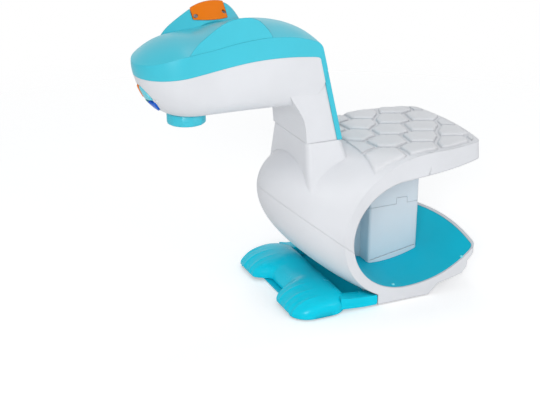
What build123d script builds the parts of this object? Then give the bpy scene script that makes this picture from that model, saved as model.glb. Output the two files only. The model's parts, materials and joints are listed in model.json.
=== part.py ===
import os
from math import cos, radians, sin, sqrt, tan
from build123d import *

# Art projector: a head on a leaning neck looks down at the sheet in front of a rolled body.
# Millimetres. X runs across the width, -Y points to the sheet, +Y to the tray, +Z is up.
# The origin is on the ground, at the middle of the overall width and depth.

# Rolled body: seen from the side, its rim is an elliptic ring round the storage cavity
BODY_HALF = 72.0
CAVITY_Y = 77.0
CAVITY_Z = 69.5
CAVITY_A = 59.0
CAVITY_B = 55.5
CEILING_SLOPE = 0.09
RIM_BAND = 9.5
TRAY_R = 134.0
BODY_WALL = 3.0
# The middle of the body swells forward and up from the rim
BELLY_Y = -46.0
BELLY_Z = 108.0
BELLY_LOW_Y = 62.0
BELLY_LOW_Z = 2.4
BELLY_TOP_Y = 60.0
RIM_TOP_Y = 100.0
DRUM_STATIONS = (-1.0, -0.78, -0.42, 0.0, 0.42, 0.78, 1.0)
VOID_BACK = 58.0
# The seam between upper and lower body climbs towards the front
SEAM_RIM_Z = 68.0
SEAM_SLOPE = 0.784
SEAM_REAR_Z = 59.5

# Shelf behind the neck, with raised pads
DRUM_TOP = 149.2
SHELF_TOP = 149.5
SHELF_SKIRT = 24.3
SHELF_WALL = 2.6
SHELF_SIDE_Y = 100.0
SHELF_BACK_Y = 166.5
SHELF_CORNER = (61.0, 158.0)
SHELF_CORNER_R = 10.0
SHELF_LEAN = 1.5
SHELF_LAP = 2.0
POCKET_FRONT_Y = 82.0
PAD_RISE = 1.3
PAD_SINK = 1.2
PAD_SHARE = 0.89
PAD_SIDE = 19.3
PAD_LONG = 38.0
PAD_PITCH = 29.0
PAD_DRIFT = 3.0
PAD_EDGE = 4.0
PAD_FRONT_Y = 39.0
PAD_LOW = 134.0

# Base under the cavity
FOOT_RISE = 0.8
PLINTH_FRONT = 46.0
PLINTH_BACK = 103.0
TRAY_SIDE_Y = 100.0
TRAY_CORNER = (66.0, 158.5)
TRAY_CORNER_R = 9.0
TRAY_BACK_Y = 164.5
LINER = 2.0
LINER_LIP = 2.0
PLATE = 2.5
PLATE_FRONT = 52.0
PLATE_BACK = 98.0
PLATE_HALF = 62.0
FIT = 0.2
SEAT_GAP = 0.25
SCREW_R = 1.5
SCREW_PLAY = 0.05
SCREW_HEAD_R = 2.7
SCREW_HEAD = 1.4
SCREW_LENGTH = 9.0
BOSS_R = 3.5
BOSS_TOP = 12.3
BOSS_AT = [(side * 30.0, y) for side in (-1, 1) for y in (64.0, 90.0)]
FOOT_R = 6.0
FOOT_SINK = 0.7
FEET_AT = [(side * 52.0, y) for side in (-1, 1) for y in (61.0, 89.0)]

# Neck
NECK_HALF = 38.5
NECK_SEAM_Z = 163.0
NECK_FRONT_Y = -16.0
NECK_BACK_Y = 20.0
NECK_CORNER_R = 6.0
NECK_WALL = 2.8
NECK_STEP = 0.8
NECK_FLARE = ((-17.0, 175.0), (-18.5, 190.0), (-27.0, 198.0), (-34.0, 212.0))
STUB_LOW_Z = 96.0
STUB_LOW_HALF = 53.0
STUB_LOW_FRONT = -19.0
STUB_LOW_BACK = 40.0
NECK_TOP = (1.5, 240.0)
SPINE = 5.0
# Power switch on the back of the neck
SWITCH_Z = 190.0
SWITCH_SLOT = 10.4
SWITCH_SLOT_X = 8.4
SWITCH_TRAVEL = 3.0
SWITCH_PROUD = 1.0
SWITCH_DEPTH = 7.5

# Head: plan sections from the underside up (level, half width, nose tip)
HEAD_HALF = 41.0
HEAD_WALL = 2.4
HEAD_BACK = 24.0
HEAD_LEVELS = (
    (198.0, 22.0, -136.0),
    (200.5, 29.0, -142.5),
    (206.5, 35.5, -150.0),
    (216.0, 39.5, -157.5),
    (229.0, HEAD_HALF, -163.5),
    (242.0, HEAD_HALF - 0.1, -166.5),
    (256.0, HEAD_HALF - 0.8, -164.0),
    (272.0, HEAD_HALF - 1.5, -160.5),
    (292.0, HEAD_HALF - 2.4, -155.0),
)
HEAD_HEEL_R = 34.0
HEEL_TOP_R = 10.0
# Crown of the cover along the head (position, height at the middle, height at the sides)
CROWN_HALF = 42.0
CROWN = (
    (-180.0, 232.0, 214.0),
    (-170.0, 243.0, 226.0),
    (-163.0, 250.0, 233.0),
    (-155.0, 256.0, 241.0),
    (-142.0, 262.5, 251.0),
    (-120.0, 267.0, 257.5),
    (-90.0, 270.5, 262.0),
    (-60.0, 273.0, 265.0),
    (-35.0, 271.5, 264.0),
    (-15.0, 266.0, 260.0),
    (0.0, 258.0, 254.0),
    (12.0, 248.0, 246.0),
    (30.0, 232.0, 231.0),
)
# Side fins on the cover
FIN_OUTLINE = (
    (-129, 256),
    (-120, 266.5),
    (-111, 273),
    (-92, 283.5),
    (-80, 285.6),
    (-65, 283),
    (-56, 275),
    (-49, 264),
)
FIN_MIDDLE = -88.0
FIN_SHORTEN = 0.012
FIN_ROOT = 252.0
FIN_FOOT = 262.0
FIN_X = 39.4
FIN_LEAN = 4.0
FIN_DEPTH = 16.0
FIN_SLOPE = 42.0
CARD_Y = (-99.5, -66.5)
CARD_Z = 272.0
CARD_GAP = 0.5
CARD_PROUD = 0.4
CARD_SCREW_IN = 8.6
CARD_SCREW_AT = ((-96.4, 274.6), (-69.4, 275.6))
CARD_SCREW_R = 1.0
CARD_HEAD_R = 1.9

FIN_WALL = 2.0
SPINE_TOP = 246.0

# Lens and focus ring, on one upright axis
LENS_Y = -119.0
RING_LOW = 186.8
RING_R = 17.8
TUBE_R = 15.5
TUBE_TOP = 214.0
RUN = 0.05
BARREL_R = 13.9
TUBE_LIP = 1.1
TUBE_FLANGE = 2.0
RING_GAP = 0.4
RIBS = 36
BARREL_LOW = 189.0
BARREL_LENGTH = 22.6
LENS_R = 12.25
LENS_STOP_R = 11.2
LENS_EDGE = 2.6
LENS_RIM = 1.5
FRONT_LENS_Z = 191.2
REAR_LENS_Z = 206.2

HOUSING_LOW = 214.0
HOUSING_HEIGHT = 38.0
HOUSING_HALF = 24.0
THROAT_HALF = 17.0
THROAT_HEIGHT = 8.0
HOUSING_WALL = 2.0
LEDGE = 1.2
LCD_Z = 226.0
CONDENSER_Z = 233.0
CONDENSER_R = 20.0
LED_BOARD_Z = 250.4
SINK_HALF = 17.0
SINK_HEIGHT = 5.0
SINK_PITCH = 4.5
SINK_FINS = 8
POST_RISE = 2.2
POST_R = 2.5
POST_AT = [(side * 20.0, y) for side in (-1, 1) for y in (-128.0, -104.0)]

# Control buttons on the slope of the nose
PANEL_Y = -153.4
PANEL_Z = 214.0
PANEL_TILT = 35.0
PANEL_R = 19.0
PANEL_WALL = 2.0
KEY_RADIUS = 15.0
KEY_CROSS = 3.2
BUTTON_PROUD = 1.4
BUTTON_EDGE = 0.6
BUTTON_GAP = 0.35
BUTTON_DEPTH = 4.6
BUTTON_TRAVEL = 1.2
BUTTON_CORNER = 1.2
FLANGE = 1.2
FLANGE_GAP = 0.15
DOME_AT = 7.2
DOME_R = 3.5
MAT_DEPTH = 7.2
BOARD_DEPTH = 8.2
KEY_BOARD = 1.2
KEY_BOARD_HIGH = 23.0
PANEL_POST_X = 18.6
PANEL_POST_R = 1.6

# Paper clamp in front of the body
CLAMP_HALF = 75.5
CLAMP_FRONT = -39.0
CLAMP_BACK = 15.0
CLAMP_LOW = 1.0
CLAMP_CROWN = ((-39, 5), (-30, 14.5), (-12, 20.5), (6, 19.5), (15, 13.5))
CLAMP_FRONT_R = 18.0
CLAMP_BACK_R = 10.0
CLAMP_WALL = 2.5
NOTCH_HALF = 19.0
NOTCH_DEPTH = 14.0
PIVOT_Y = 38.0
PIVOT_Z = 6.2
PIN_R = 1.6
ARM_INSET = 5.5
ARM_WIDTH = 12.0
ARM_OUTLINE = ((6, 3.5), (6, 17), (14, 14), (28, 12), (38, 11.2), (38, 1.2))
ARM_END_R = 5.0
CLAMP_RIBS = 3
RIB_END = 10.5
RIB_PITCH = 7.5
RIB_WIDTH = 3.0
RIB_RISE = 0.9
PIN_PROUD = 0.6
PIN_HEAD_R = 2.4
EAR_GAP = 0.8
EAR_WIDTH = 4.0
EAR_R = 3.3
BED = 1.8
BED_TOP = 2.6
BED_ROOM = 0.4
BED_INSET = 6.0
BED_FRONT = -32.0
BED_FOOT_INSET = 12.0
BED_FOOT_Y = -26.0
BED_FOOT_R = 4.5

# Battery pillar and its web in the middle of the cavity
PILLAR_HALF = 11.0
PILLAR_Y = (67.5, 124.0)
PILLAR_CORNER = 3.0
WEB = 4.0
DOOR = 2.4
DOOR_LOW = (16.8, 26.3)
DOOR_TOP = 74.5
LATCH_Y = (98.0, 110.0)
LATCH_TOP = 81.0
DOOR_GAP = 0.3
DOOR_PLAY = 0.02
CELL_R = 7.1
CELL_PLAY = 0.3
CELL_LENGTH = 50.5
CELL_NUB = 1.2
CELL_LOW = 26.0
CELL_AT = (79.5, 95.75, 112.0)
BAY_Y = (71.0, 120.5)
CONTACT = 1.8
CONTACT_PLATE = 0.6
JACK_X = 10.0
JACK_HEIGHT = 11.0
JACK_LENGTH = 13.0
JACK_Z = 97.0
JACK_BORE = 3.0
JACK_PIN = 1.0
JACK_DEPTH = 10.0

# Board and speaker in the belly
BOARD_X = 76.0
BOARD_HEIGHT = 46.0
BOARD_Y = 9.0
BOARD_Z = 94.0
STANDOFF_AT = [(side * 34.0, z) for side in (-1, 1) for z in (76.0, 112.0)]
STANDOFF = 6.0
SPEAKER_R = 14.0
SPEAKER_Y = 8.0
SPEAKER_Z = 53.0
SPEAKER_RIB_X = 10.0

# Stations of the clamp's arms, ears and pins across the width
arm_out = CLAMP_HALF - ARM_INSET
arm_in = arm_out - ARM_WIDTH
ear_x = arm_in - EAR_GAP - EAR_WIDTH / 2
pin_in = ear_x - EAR_WIDTH / 2 - FIT
bed_half = arm_in - BED_INSET

os.makedirs("parts", exist_ok=True)


def write(shape, name):
    """Label a finished piece and write it under its own name."""
    shape.label = name
    export_step(shape, f"parts/{name}.step")


def cavity_profile(grow):
    """Side outline of the storage cavity, grown outwards by a distance."""
    tray_z = CAVITY_Z - CAVITY_B + TRAY_R
    span = 46.0
    end = Vector(
        CAVITY_Y + (TRAY_R + grow) * sin(radians(span)),
        tray_z - (TRAY_R + grow) * cos(radians(span)),
    )
    top = CAVITY_Z + CAVITY_B + grow
    with BuildSketch(Plane.YZ) as outline:
        with BuildLine():
            EllipticalCenterArc(
                (CAVITY_Y, CAVITY_Z), CAVITY_A + grow, CAVITY_B + grow, start_angle=90, arc_size=180
            )
            CenterArc((CAVITY_Y, tray_z), TRAY_R + grow, 270, span)
            Line(end, (end.X, top + CEILING_SLOPE * (end.X - CAVITY_Y)))
            Line((end.X, top + CEILING_SLOPE * (end.X - CAVITY_Y)), (CAVITY_Y, top))
        make_face()
    return outline.sketch


def drum_section(x, inset):
    """Side outline of the body at one station across its width."""
    swell = 1 - (x / BODY_HALF) ** 2
    rim_front = CAVITY_Y - CAVITY_A - RIM_BAND
    rim_low = CAVITY_Z - CAVITY_B - RIM_BAND
    front = Vector(rim_front + swell * (BELLY_Y - rim_front) + inset, CAVITY_Z + swell * (BELLY_Z - CAVITY_Z))
    low = Vector(CAVITY_Y + swell * (BELLY_LOW_Y - CAVITY_Y), rim_low + swell * (BELLY_LOW_Z - rim_low) + inset)
    top = Vector(RIM_TOP_Y + swell * (BELLY_TOP_Y - RIM_TOP_Y), DRUM_TOP - inset)
    reach_low = (low.X - front.X) * (0.55 - 0.3 * swell)
    reach_top = (top.X - front.X) * 0.55
    rise_low = (front.Y - low.Y) * (0.55 - 0.1 * swell)
    rise_top = (top.Y - front.Y) * (0.55 + 0.35 * swell)
    with BuildSketch(Plane.YZ.offset(x)) as outline:
        with BuildLine():
            Bezier(low, low - Vector(reach_low, 0), front - Vector(0, rise_low), front)
            Bezier(front, front + Vector(0, rise_top), top - Vector(reach_top, 0), top)
            Line(top, low)
        make_face()
    return outline.sketch


def drum_form(inset):
    """Swollen body between its two flat rims."""
    with BuildPart() as form:
        loft([drum_section(s * (BODY_HALF - inset), inset) for s in DRUM_STATIONS])
    return form.part


def shelf_plan(z, spread, inset, front, bow=0.0):
    """Plan outline of the shelf at one level; its front edge can bow forward in the middle."""
    half = BODY_HALF - inset
    corner = Vector(SHELF_CORNER[0] + spread - inset, SHELF_CORNER[1] + spread - inset)
    back = SHELF_BACK_Y - SHELF_LEAN + spread - inset
    with BuildSketch(Plane.XY.offset(z)) as outline:
        with BuildLine():
            Bezier((-half, front), (0, front - 2 * bow), (half, front))
            side = max(front, SHELF_SIDE_Y) + 0.5
            Line((half, front), (half, side))
            TangentArc((half, side), corner, tangent=(0, 1))
            ThreePointArc(corner, (0, back), (-corner.X, corner.Y))
            TangentArc((-half, side), (-corner.X, corner.Y), tangent=(0, 1))
            Line((-half, side), (-half, front))
        make_face()
        fillet(outline.vertices().group_by(Axis.Y)[-1], SHELF_CORNER_R)
    return outline.sketch


def base_profile(inset):
    """Side outline of the plinth and of the tray's underside."""
    with BuildSketch(Plane.YZ) as outline:
        with BuildLine():
            Polyline(
                (PLINTH_FRONT, FOOT_RISE),
                (PLINTH_BACK, FOOT_RISE),
                (PLINTH_BACK + 10, 10.5),
                (142.5, 14.7),
                (148.0, 20.4),
                (149.0, 27.0),
                (154.5, 31.5),
                (166.0, 38.0),
                (166.0, 60.0),
                (PLINTH_FRONT, 60.0),
                close=True,
            )
        make_face()
        if inset:
            offset(amount=-inset, kind=Kind.INTERSECTION, mode=Mode.REPLACE)
    return outline.sketch


def tray_plan(inset):
    """Plan outline of the tray."""
    half = BODY_HALF - inset
    corner = Vector(TRAY_CORNER[0] - inset, TRAY_CORNER[1] - inset)
    with BuildSketch(Plane.XY) as outline:
        with BuildLine():
            Line((-half, -20), (half, -20))
            Line((half, -20), (half, TRAY_SIDE_Y))
            TangentArc((half, TRAY_SIDE_Y), corner, tangent=(0, 1))
            ThreePointArc(corner, (0, TRAY_BACK_Y - inset), (-corner.X, corner.Y))
            TangentArc((-half, TRAY_SIDE_Y), (-corner.X, corner.Y), tangent=(0, 1))
            Line((-half, TRAY_SIDE_Y), (-half, -20))
        make_face()
        fillet(outline.vertices().group_by(Axis.Y)[-1], TRAY_CORNER_R - inset)
    return outline.sketch


def base_form(inset):
    """Plinth and tray as one block, cut to the tray's plan."""
    with BuildPart() as form:
        extrude(base_profile(inset), amount=BODY_HALF, both=True)
        extrude(tray_plan(inset), amount=90, mode=Mode.INTERSECT)
    return form.part


def stub_form(inset):
    """Flared root of the neck, down into the body."""
    sections = []
    for z, half, front, back in (
        (STUB_LOW_Z, STUB_LOW_HALF, STUB_LOW_FRONT, STUB_LOW_BACK),
        (NECK_SEAM_Z, NECK_HALF, NECK_FRONT_Y, NECK_BACK_Y),
    ):
        with BuildSketch(Plane.XY.offset(z)) as outline:
            with Locations((0, (front + back) / 2)):
                RectangleRounded(2 * (half - inset), back - front - 2 * inset, NECK_CORNER_R - inset)
        sections.append(outline.sketch)
    with BuildPart() as form:
        loft(sections, ruled=True)
    return form.part


def seam_below():
    """Everything under the body's seam: sloped through the belly, level in the cavity wall."""
    rim_front = CAVITY_Y - CAVITY_A - RIM_BAND
    bend = rim_front + (SEAM_RIM_Z - SEAM_REAR_Z) / SEAM_SLOPE
    far = -80.0
    with BuildPart() as below:
        with BuildSketch(Plane.YZ):
            with BuildLine():
                Polyline(
                    (far, SEAM_RIM_Z + SEAM_SLOPE * (rim_front - far)),
                    (bend, SEAM_REAR_Z),
                    (220, SEAM_REAR_Z),
                    (220, -20),
                    (far, -20),
                    close=True,
                )
            make_face()
        extrude(amount=100, both=True)
    return below.part


def head_section(z, half, tip, back_half):
    """Plan outline of the head at one level: round nose, long sides, straight back."""
    shoulder = tip + half
    with BuildSketch(Plane.XY.offset(z)) as outline:
        with BuildLine():
            CenterArc((0, shoulder), half, 180, 180)
            Bezier((half, shoulder), (half, shoulder + 60), (half - 0.3, -40), (back_half, HEAD_BACK))
            Line((back_half, HEAD_BACK), (-back_half, HEAD_BACK))
            Bezier((-back_half, HEAD_BACK), (0.3 - half, -40), (-half, shoulder + 60), (-half, shoulder))
        make_face()
    return outline.sketch


def head_block(inset):
    """Head before its crown and heel are cut."""
    underside = HEAD_LEVELS[0][0]
    sections = []
    for z, half, tip in HEAD_LEVELS:
        level = z + inset if z == underside else z
        sections.append(head_section(level, half - inset, tip + inset, NECK_HALF - inset))
    with BuildPart() as form:
        loft(sections)
    return form.part


def crown_form(inset):
    """Everything under the crown of the cover."""
    sections = []
    for y, middle, side in CROWN:
        with BuildSketch(Plane.XZ.offset(-y)) as outline:
            with BuildLine():
                ThreePointArc(
                    (-CROWN_HALF, side - inset), (0, middle - inset), (CROWN_HALF, side - inset)
                )
                Polyline(
                    (CROWN_HALF, side - inset), (CROWN_HALF, 150), (-CROWN_HALF, 150), (-CROWN_HALF, side - inset)
                )
            make_face()
        sections.append(outline.sketch)
    with BuildPart() as form:
        loft(sections)
    return form.part


def neck_lean():
    """Change of Y for each millimetre up along the back of the neck."""
    return (NECK_TOP[0] - NECK_BACK_Y) / (NECK_TOP[1] - NECK_SEAM_Z)


def back_y(z, inset=0.0):
    """Place of the leaning back at one level."""
    return NECK_BACK_Y + neck_lean() * (z - NECK_SEAM_Z) - inset


def heel_profile(inset):
    """Side outline that rounds the head's heel and gives it its leaning back."""
    low = HEAD_LEVELS[0][0] + inset
    top = 300.0
    heel = low + HEAD_HEEL_R
    with BuildSketch(Plane.YZ) as outline:
        with BuildLine():
            Polyline(
                (back_y(heel, inset) - HEAD_HEEL_R, low),
                (-190, low),
                (-190, top),
                (back_y(top, inset), top),
                (back_y(heel, inset), heel),
            )
            ThreePointArc(
                (back_y(heel, inset), heel),
                (
                    back_y(heel, inset) - HEAD_HEEL_R * (1 - cos(radians(45))),
                    heel - HEAD_HEEL_R * sin(radians(45)),
                ),
                (back_y(heel, inset) - HEAD_HEEL_R, low),
            )
        make_face()
    return outline.sketch


def head_form(inset):
    """Whole head, cover and shell together."""
    with BuildPart() as form:
        add(head_block(inset))
        add(crown_form(inset), mode=Mode.INTERSECT)
        extrude(heel_profile(inset), amount=60, both=True, mode=Mode.INTERSECT)
    return form.part


def neck_profile(inset):
    """Side outline of the neck, flowing into the head's underside."""
    flare = [(y + inset, z) for y, z in NECK_FLARE]
    top = 236.0
    with BuildSketch(Plane.YZ) as outline:
        with BuildLine():
            Polyline(
                flare[-1],
                (flare[-1][0], top),
                (back_y(top, SPINE + inset), top),
                (back_y(NECK_SEAM_Z, SPINE + inset), NECK_SEAM_Z),
                (NECK_FRONT_Y + inset, NECK_SEAM_Z),
                flare[0],
            )
            Bezier(*flare)
        make_face()
    return outline.sketch


def neck_form(inset):
    """Upright part of the arm in front of the spine."""
    with BuildPart() as form:
        extrude(neck_profile(inset), amount=NECK_HALF - NECK_STEP - inset, both=True)
    return form.part


def seam_of_cover():
    """Everything under the line where the cover meets the shell."""
    with BuildPart() as below:
        with BuildSketch(Plane.YZ):
            with BuildLine():
                top = Spline(
                    (-190, 234.5),
                    (-150, 236.0),
                    (-112, 241.0),
                    (-72, 246.3),
                    (-40, 247.0),
                    (-14, 245.0),
                )
                drop = 240.0
                bend = Bezier(top @ 1, (-6.0, 244.3), (back_y(drop, SPINE), 243.6), (back_y(drop, SPINE), drop))
                Polyline(
                    bend @ 1,
                    (back_y(150, SPINE), 150),
                    (-190, 150),
                    (-190, 234.5),
                )
            make_face()
        extrude(amount=60, both=True)
    return below.part




def fin_section(skin, depth):
    """Side outline of the fin at a depth inside its outer face; it gets lower and shorter inwards."""
    lean = radians(FIN_LEAN)
    slope = radians(FIN_SLOPE)
    drop = skin * (1 / cos(slope) + tan(slope))
    face = Plane(
        origin=(FIN_X - skin - depth, 0, FIN_FOOT - drop - depth * tan(slope)),
        x_dir=(0, 1, 0),
        z_dir=(cos(lean), 0, sin(lean)),
    )
    points = [
        (FIN_MIDDLE + (y - FIN_MIDDLE) * (1 - depth * FIN_SHORTEN), z - FIN_FOOT) for y, z in FIN_OUTLINE
    ]
    low = FIN_ROOT - FIN_FOOT
    with BuildSketch(face) as outline:
        with BuildLine():
            ridge = Spline(*points)
            Polyline(ridge @ 1, (points[-1][0], low), (points[0][0], low), ridge @ 0)
        make_face()
    return outline.sketch


def fin_form(skin):
    """Side fin on the +X side: a crescent standing on the head's edge, sloping to the inside."""
    with BuildPart() as form:
        loft([fin_section(skin, 0), fin_section(skin, FIN_DEPTH)], ruled=True)
    return form.part


def switch_plane():
    """Plane on the leaning back of the neck at the switch; its Y axis points down."""
    slope = sqrt(1 + neck_lean() ** 2)
    return Plane(
        origin=(0, back_y(SWITCH_Z), SWITCH_Z),
        x_dir=(1, 0, 0),
        z_dir=(0, 1 / slope, -neck_lean() / slope),
    )


def panel_plane(depth):
    """Plane of the button panel, sunk by a depth below the nose."""
    tilt = radians(PANEL_TILT)
    outward = Vector(0, -cos(tilt), -sin(tilt))
    return Plane(
        origin=Vector(0, PANEL_Y, PANEL_Z) - outward * depth, x_dir=(1, 0, 0), z_dir=outward
    )


def quadrant(side, level, grow, low, high):
    """Quarter-round block on the button panel, from one depth behind its face to another."""
    gap = KEY_CROSS / 2 - grow
    round_r = KEY_RADIUS + grow
    reach = sqrt(round_r**2 - gap**2)
    middle = round_r * cos(radians(45))
    with BuildPart() as form:
        with BuildSketch(panel_plane(low)) as outline:
            with BuildLine():
                ThreePointArc(
                    (side * reach, level * gap), (side * middle, level * middle), (side * gap, level * reach)
                )
                Polyline(
                    (side * gap, level * reach), (side * gap, level * gap), (side * reach, level * gap)
                )
            make_face()
            fillet(outline.vertices(), BUTTON_CORNER)
        extrude(amount=low - high)
    return form.part


def clamp_plan(inset):
    """Plan outline of the clamp's grip, with its finger notch."""
    half = CLAMP_HALF - inset
    front = CLAMP_FRONT + inset
    back = CLAMP_BACK - inset
    with BuildSketch(Plane.XY) as outline:
        with Locations((0, (front + back) / 2)):
            Rectangle(2 * half, back - front)
        fillet(outline.vertices().group_by(Axis.Y)[0], CLAMP_FRONT_R - inset)
        fillet(outline.vertices().group_by(Axis.Y)[-1], CLAMP_BACK_R - inset)
        with Locations((0, CLAMP_FRONT)):
            Ellipse(NOTCH_HALF + inset, NOTCH_DEPTH + inset, mode=Mode.SUBTRACT)
    return outline.sketch


def clamp_form():
    """Crowned grip of the clamp as a block."""
    with BuildPart() as form:
        with BuildSketch(Plane.YZ):
            with BuildLine():
                top = Spline(*CLAMP_CROWN)
                Polyline(top @ 1, (CLAMP_CROWN[-1][0], CLAMP_LOW), (CLAMP_CROWN[0][0], CLAMP_LOW), top @ 0)
            make_face()
        extrude(amount=CLAMP_HALF, both=True)
    return form.part


def pillar_form(inset):
    """Battery pillar between the tray and the shelf, with round upright edges."""
    front, back = PILLAR_Y
    with BuildPart() as form:
        with BuildSketch(Plane.XY) as outline:
            with Locations((0, (front + back) / 2)):
                RectangleRounded(2 * (PILLAR_HALF - inset), back - front - 2 * inset, PILLAR_CORNER)
        extrude(amount=SHELF_TOP - SHELF_WALL)
    return form.part


def door_outline(gap):
    """Side outline of the battery door, grown by a gap."""
    front, back = PILLAR_Y
    with BuildSketch(Plane.YZ) as outline:
        with BuildLine():
            Polyline(
                (front - 2 * gap, DOOR_LOW[0] - gap),
                (back + 2 * gap, DOOR_LOW[1] - gap),
                (back + 2 * gap, DOOR_TOP + gap),
                (LATCH_Y[1] + gap, DOOR_TOP + gap),
                (LATCH_Y[1] + gap, LATCH_TOP + gap),
                (LATCH_Y[0] - gap, LATCH_TOP + gap),
                (LATCH_Y[0] - gap, DOOR_TOP + gap),
                (front - 2 * gap, DOOR_TOP + gap),
                close=True,
            )
        make_face()
    return outline.sketch


def door_block(gap, behind):
    """Battery door as a block, grown by a gap at its edges and behind it."""
    with BuildPart() as form:
        extrude(door_outline(gap), amount=PILLAR_HALF)
        with BuildSketch(Plane.XY):
            with Locations((PILLAR_HALF - (DOOR + behind) / 2, (PILLAR_Y[0] + PILLAR_Y[1]) / 2)):
                Rectangle(DOOR + behind, PILLAR_Y[1] - PILLAR_Y[0] + 4)
        extrude(amount=SHELF_TOP, mode=Mode.INTERSECT)
    return form.part


def pad_corner(x, y):
    """Corner of a shelf pad, drawn a little off the even honeycomb."""
    turn = 0.17 * x + 0.23 * y
    return Vector(x + PAD_DRIFT * sin(turn), y + PAD_DRIFT * cos(1.3 * turn))


def pad_plan():
    """Uneven honeycomb of pads over the shelf and the back of the belly."""
    with BuildSketch(Plane.XY.offset(PAD_LOW)) as pads:
        for column in range(-2, 3):
            for row in range(-1, 4):
                x = column * PAD_PITCH
                y = PAD_FRONT_Y + PAD_LONG * (row + 0.5 * (column % 2) + 0.4)
                corners = [
                    pad_corner(x + side * PAD_SIDE, y + end * PAD_LONG)
                    for side, end in ((1, 0), (0.5, 0.5), (-0.5, 0.5), (-1, 0), (-0.5, -0.5), (0.5, -0.5))
                ]
                middle = sum(corners, Vector(0, 0)) * (1 / 6)
                with BuildLine():
                    Polyline(*[middle + (corner - middle) * PAD_SHARE for corner in corners], close=True)
                make_face()
        add(shelf_plan(PAD_LOW, 0, PAD_EDGE, PAD_FRONT_Y), mode=Mode.INTERSECT)
    return pads.sketch


# Body as one form, before the seam divides it
below_seam = seam_below()

with BuildPart() as body_form:
    add(drum_form(0))
    skirt_low = SHELF_TOP - SHELF_SKIRT
    shelf_front = RIM_TOP_Y - SHELF_LAP
    shelf_bow = RIM_TOP_Y - BELLY_TOP_Y
    loft(
        [
            shelf_plan(skirt_low, SHELF_LEAN, 0, shelf_front, shelf_bow),
            shelf_plan(SHELF_TOP, 0, 0, shelf_front, shelf_bow),
        ],
        ruled=True,
    )
    add(stub_form(0))
    add(base_form(0))
    extrude(cavity_profile(0), amount=BODY_HALF + 10, both=True, mode=Mode.SUBTRACT)

with BuildPart() as body_void:
    add(drum_form(BODY_WALL))
    with BuildSketch(Plane.YZ):
        with Locations((VOID_BACK - 100, 100)):
            Rectangle(200, 240)
    extrude(amount=BODY_HALF, both=True, mode=Mode.INTERSECT)
    add(stub_form(NECK_WALL))
    add(base_form(BODY_WALL))
    extrude(cavity_profile(LINER + BODY_WALL), amount=BODY_HALF + 10, both=True, mode=Mode.SUBTRACT)

# Raised pads that follow the top of the body
with BuildPart() as pads:
    extrude(pad_plan(), amount=SHELF_TOP + 10 - PAD_LOW)
    add(Pos(0, 0, PAD_RISE) * body_form.part, mode=Mode.INTERSECT)
    add(Pos(0, 0, -PAD_SINK) * body_form.part, mode=Mode.SUBTRACT)

# Upper body: belly top, shelf with its pads, root of the neck
with BuildPart() as body_shell:
    add(body_form.part)
    add(below_seam, mode=Mode.SUBTRACT)
    add(body_void.part, mode=Mode.SUBTRACT)
    loft(
        [
            shelf_plan(skirt_low, SHELF_LEAN, SHELF_WALL, POCKET_FRONT_Y),
            shelf_plan(SHELF_TOP - SHELF_WALL, 0, SHELF_WALL, POCKET_FRONT_Y),
        ],
        ruled=True,
        mode=Mode.SUBTRACT,
    )
    add(pads.part)
    # Standoffs of the main board on the front of the cavity wall
    for x, z in STANDOFF_AT:
        with BuildSketch(Plane.XZ.offset(-BOARD_Y)):
            with Locations((x, z)):
                Rectangle(STANDOFF, STANDOFF)
        wall_y = CAVITY_Y - CAVITY_A * sqrt(1 - ((z - CAVITY_Z) / CAVITY_B) ** 2)
        extrude(amount=BOARD_Y - wall_y + 1)
write(body_shell.part, "body_shell")

# Lower body: belly underside, plinth and tray
with BuildPart() as liner_seat:
    extrude(cavity_profile(LINER + SEAT_GAP), amount=BODY_HALF, both=True)
    extrude(tray_plan(LINER_LIP), amount=SEAM_REAR_Z, mode=Mode.INTERSECT)

with BuildPart() as base_shell:
    add(body_form.part)
    add(below_seam, mode=Mode.INTERSECT)
    add(body_void.part, mode=Mode.SUBTRACT)
    add(liner_seat.part, mode=Mode.SUBTRACT)
    with BuildSketch(Plane.XY):
        with Locations((0, (PLATE_FRONT + PLATE_BACK) / 2)):
            Rectangle(2 * PLATE_HALF, PLATE_BACK - PLATE_FRONT)
    extrude(amount=FOOT_RISE + BODY_WALL, mode=Mode.SUBTRACT)
    with BuildSketch(Plane.XY.offset(FOOT_RISE + PLATE)):
        with Locations(*BOSS_AT):
            Circle(BOSS_R)
    extrude(amount=BOSS_TOP - FOOT_RISE - PLATE)
    with BuildSketch(Plane.XY.offset(FOOT_RISE + PLATE)):
        with Locations(*BOSS_AT):
            Circle(SCREW_R + SCREW_PLAY)
    extrude(amount=SCREW_LENGTH - PLATE, mode=Mode.SUBTRACT)
    # Two ribs that hold the speaker in front of the cavity wall
    for side in (-1, 1):
        with BuildSketch(Plane.YZ.offset(side * SPEAKER_RIB_X)):
            with Locations((SPEAKER_Y + 4, SPEAKER_Z)):
                Rectangle(8, SPEAKER_R)
        extrude(amount=1, both=True)
write(base_shell.part, "base_shell")

# Turquoise liner of the tray and of the lower cavity wall
with BuildPart() as tray_liner:
    extrude(cavity_profile(LINER), amount=BODY_HALF, both=True)
    extrude(cavity_profile(0), amount=BODY_HALF, both=True, mode=Mode.SUBTRACT)
    extrude(tray_plan(LINER_LIP + FIT), amount=SEAM_REAR_Z - FIT, mode=Mode.INTERSECT)
write(tray_liner.part, "tray_liner")

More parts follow.
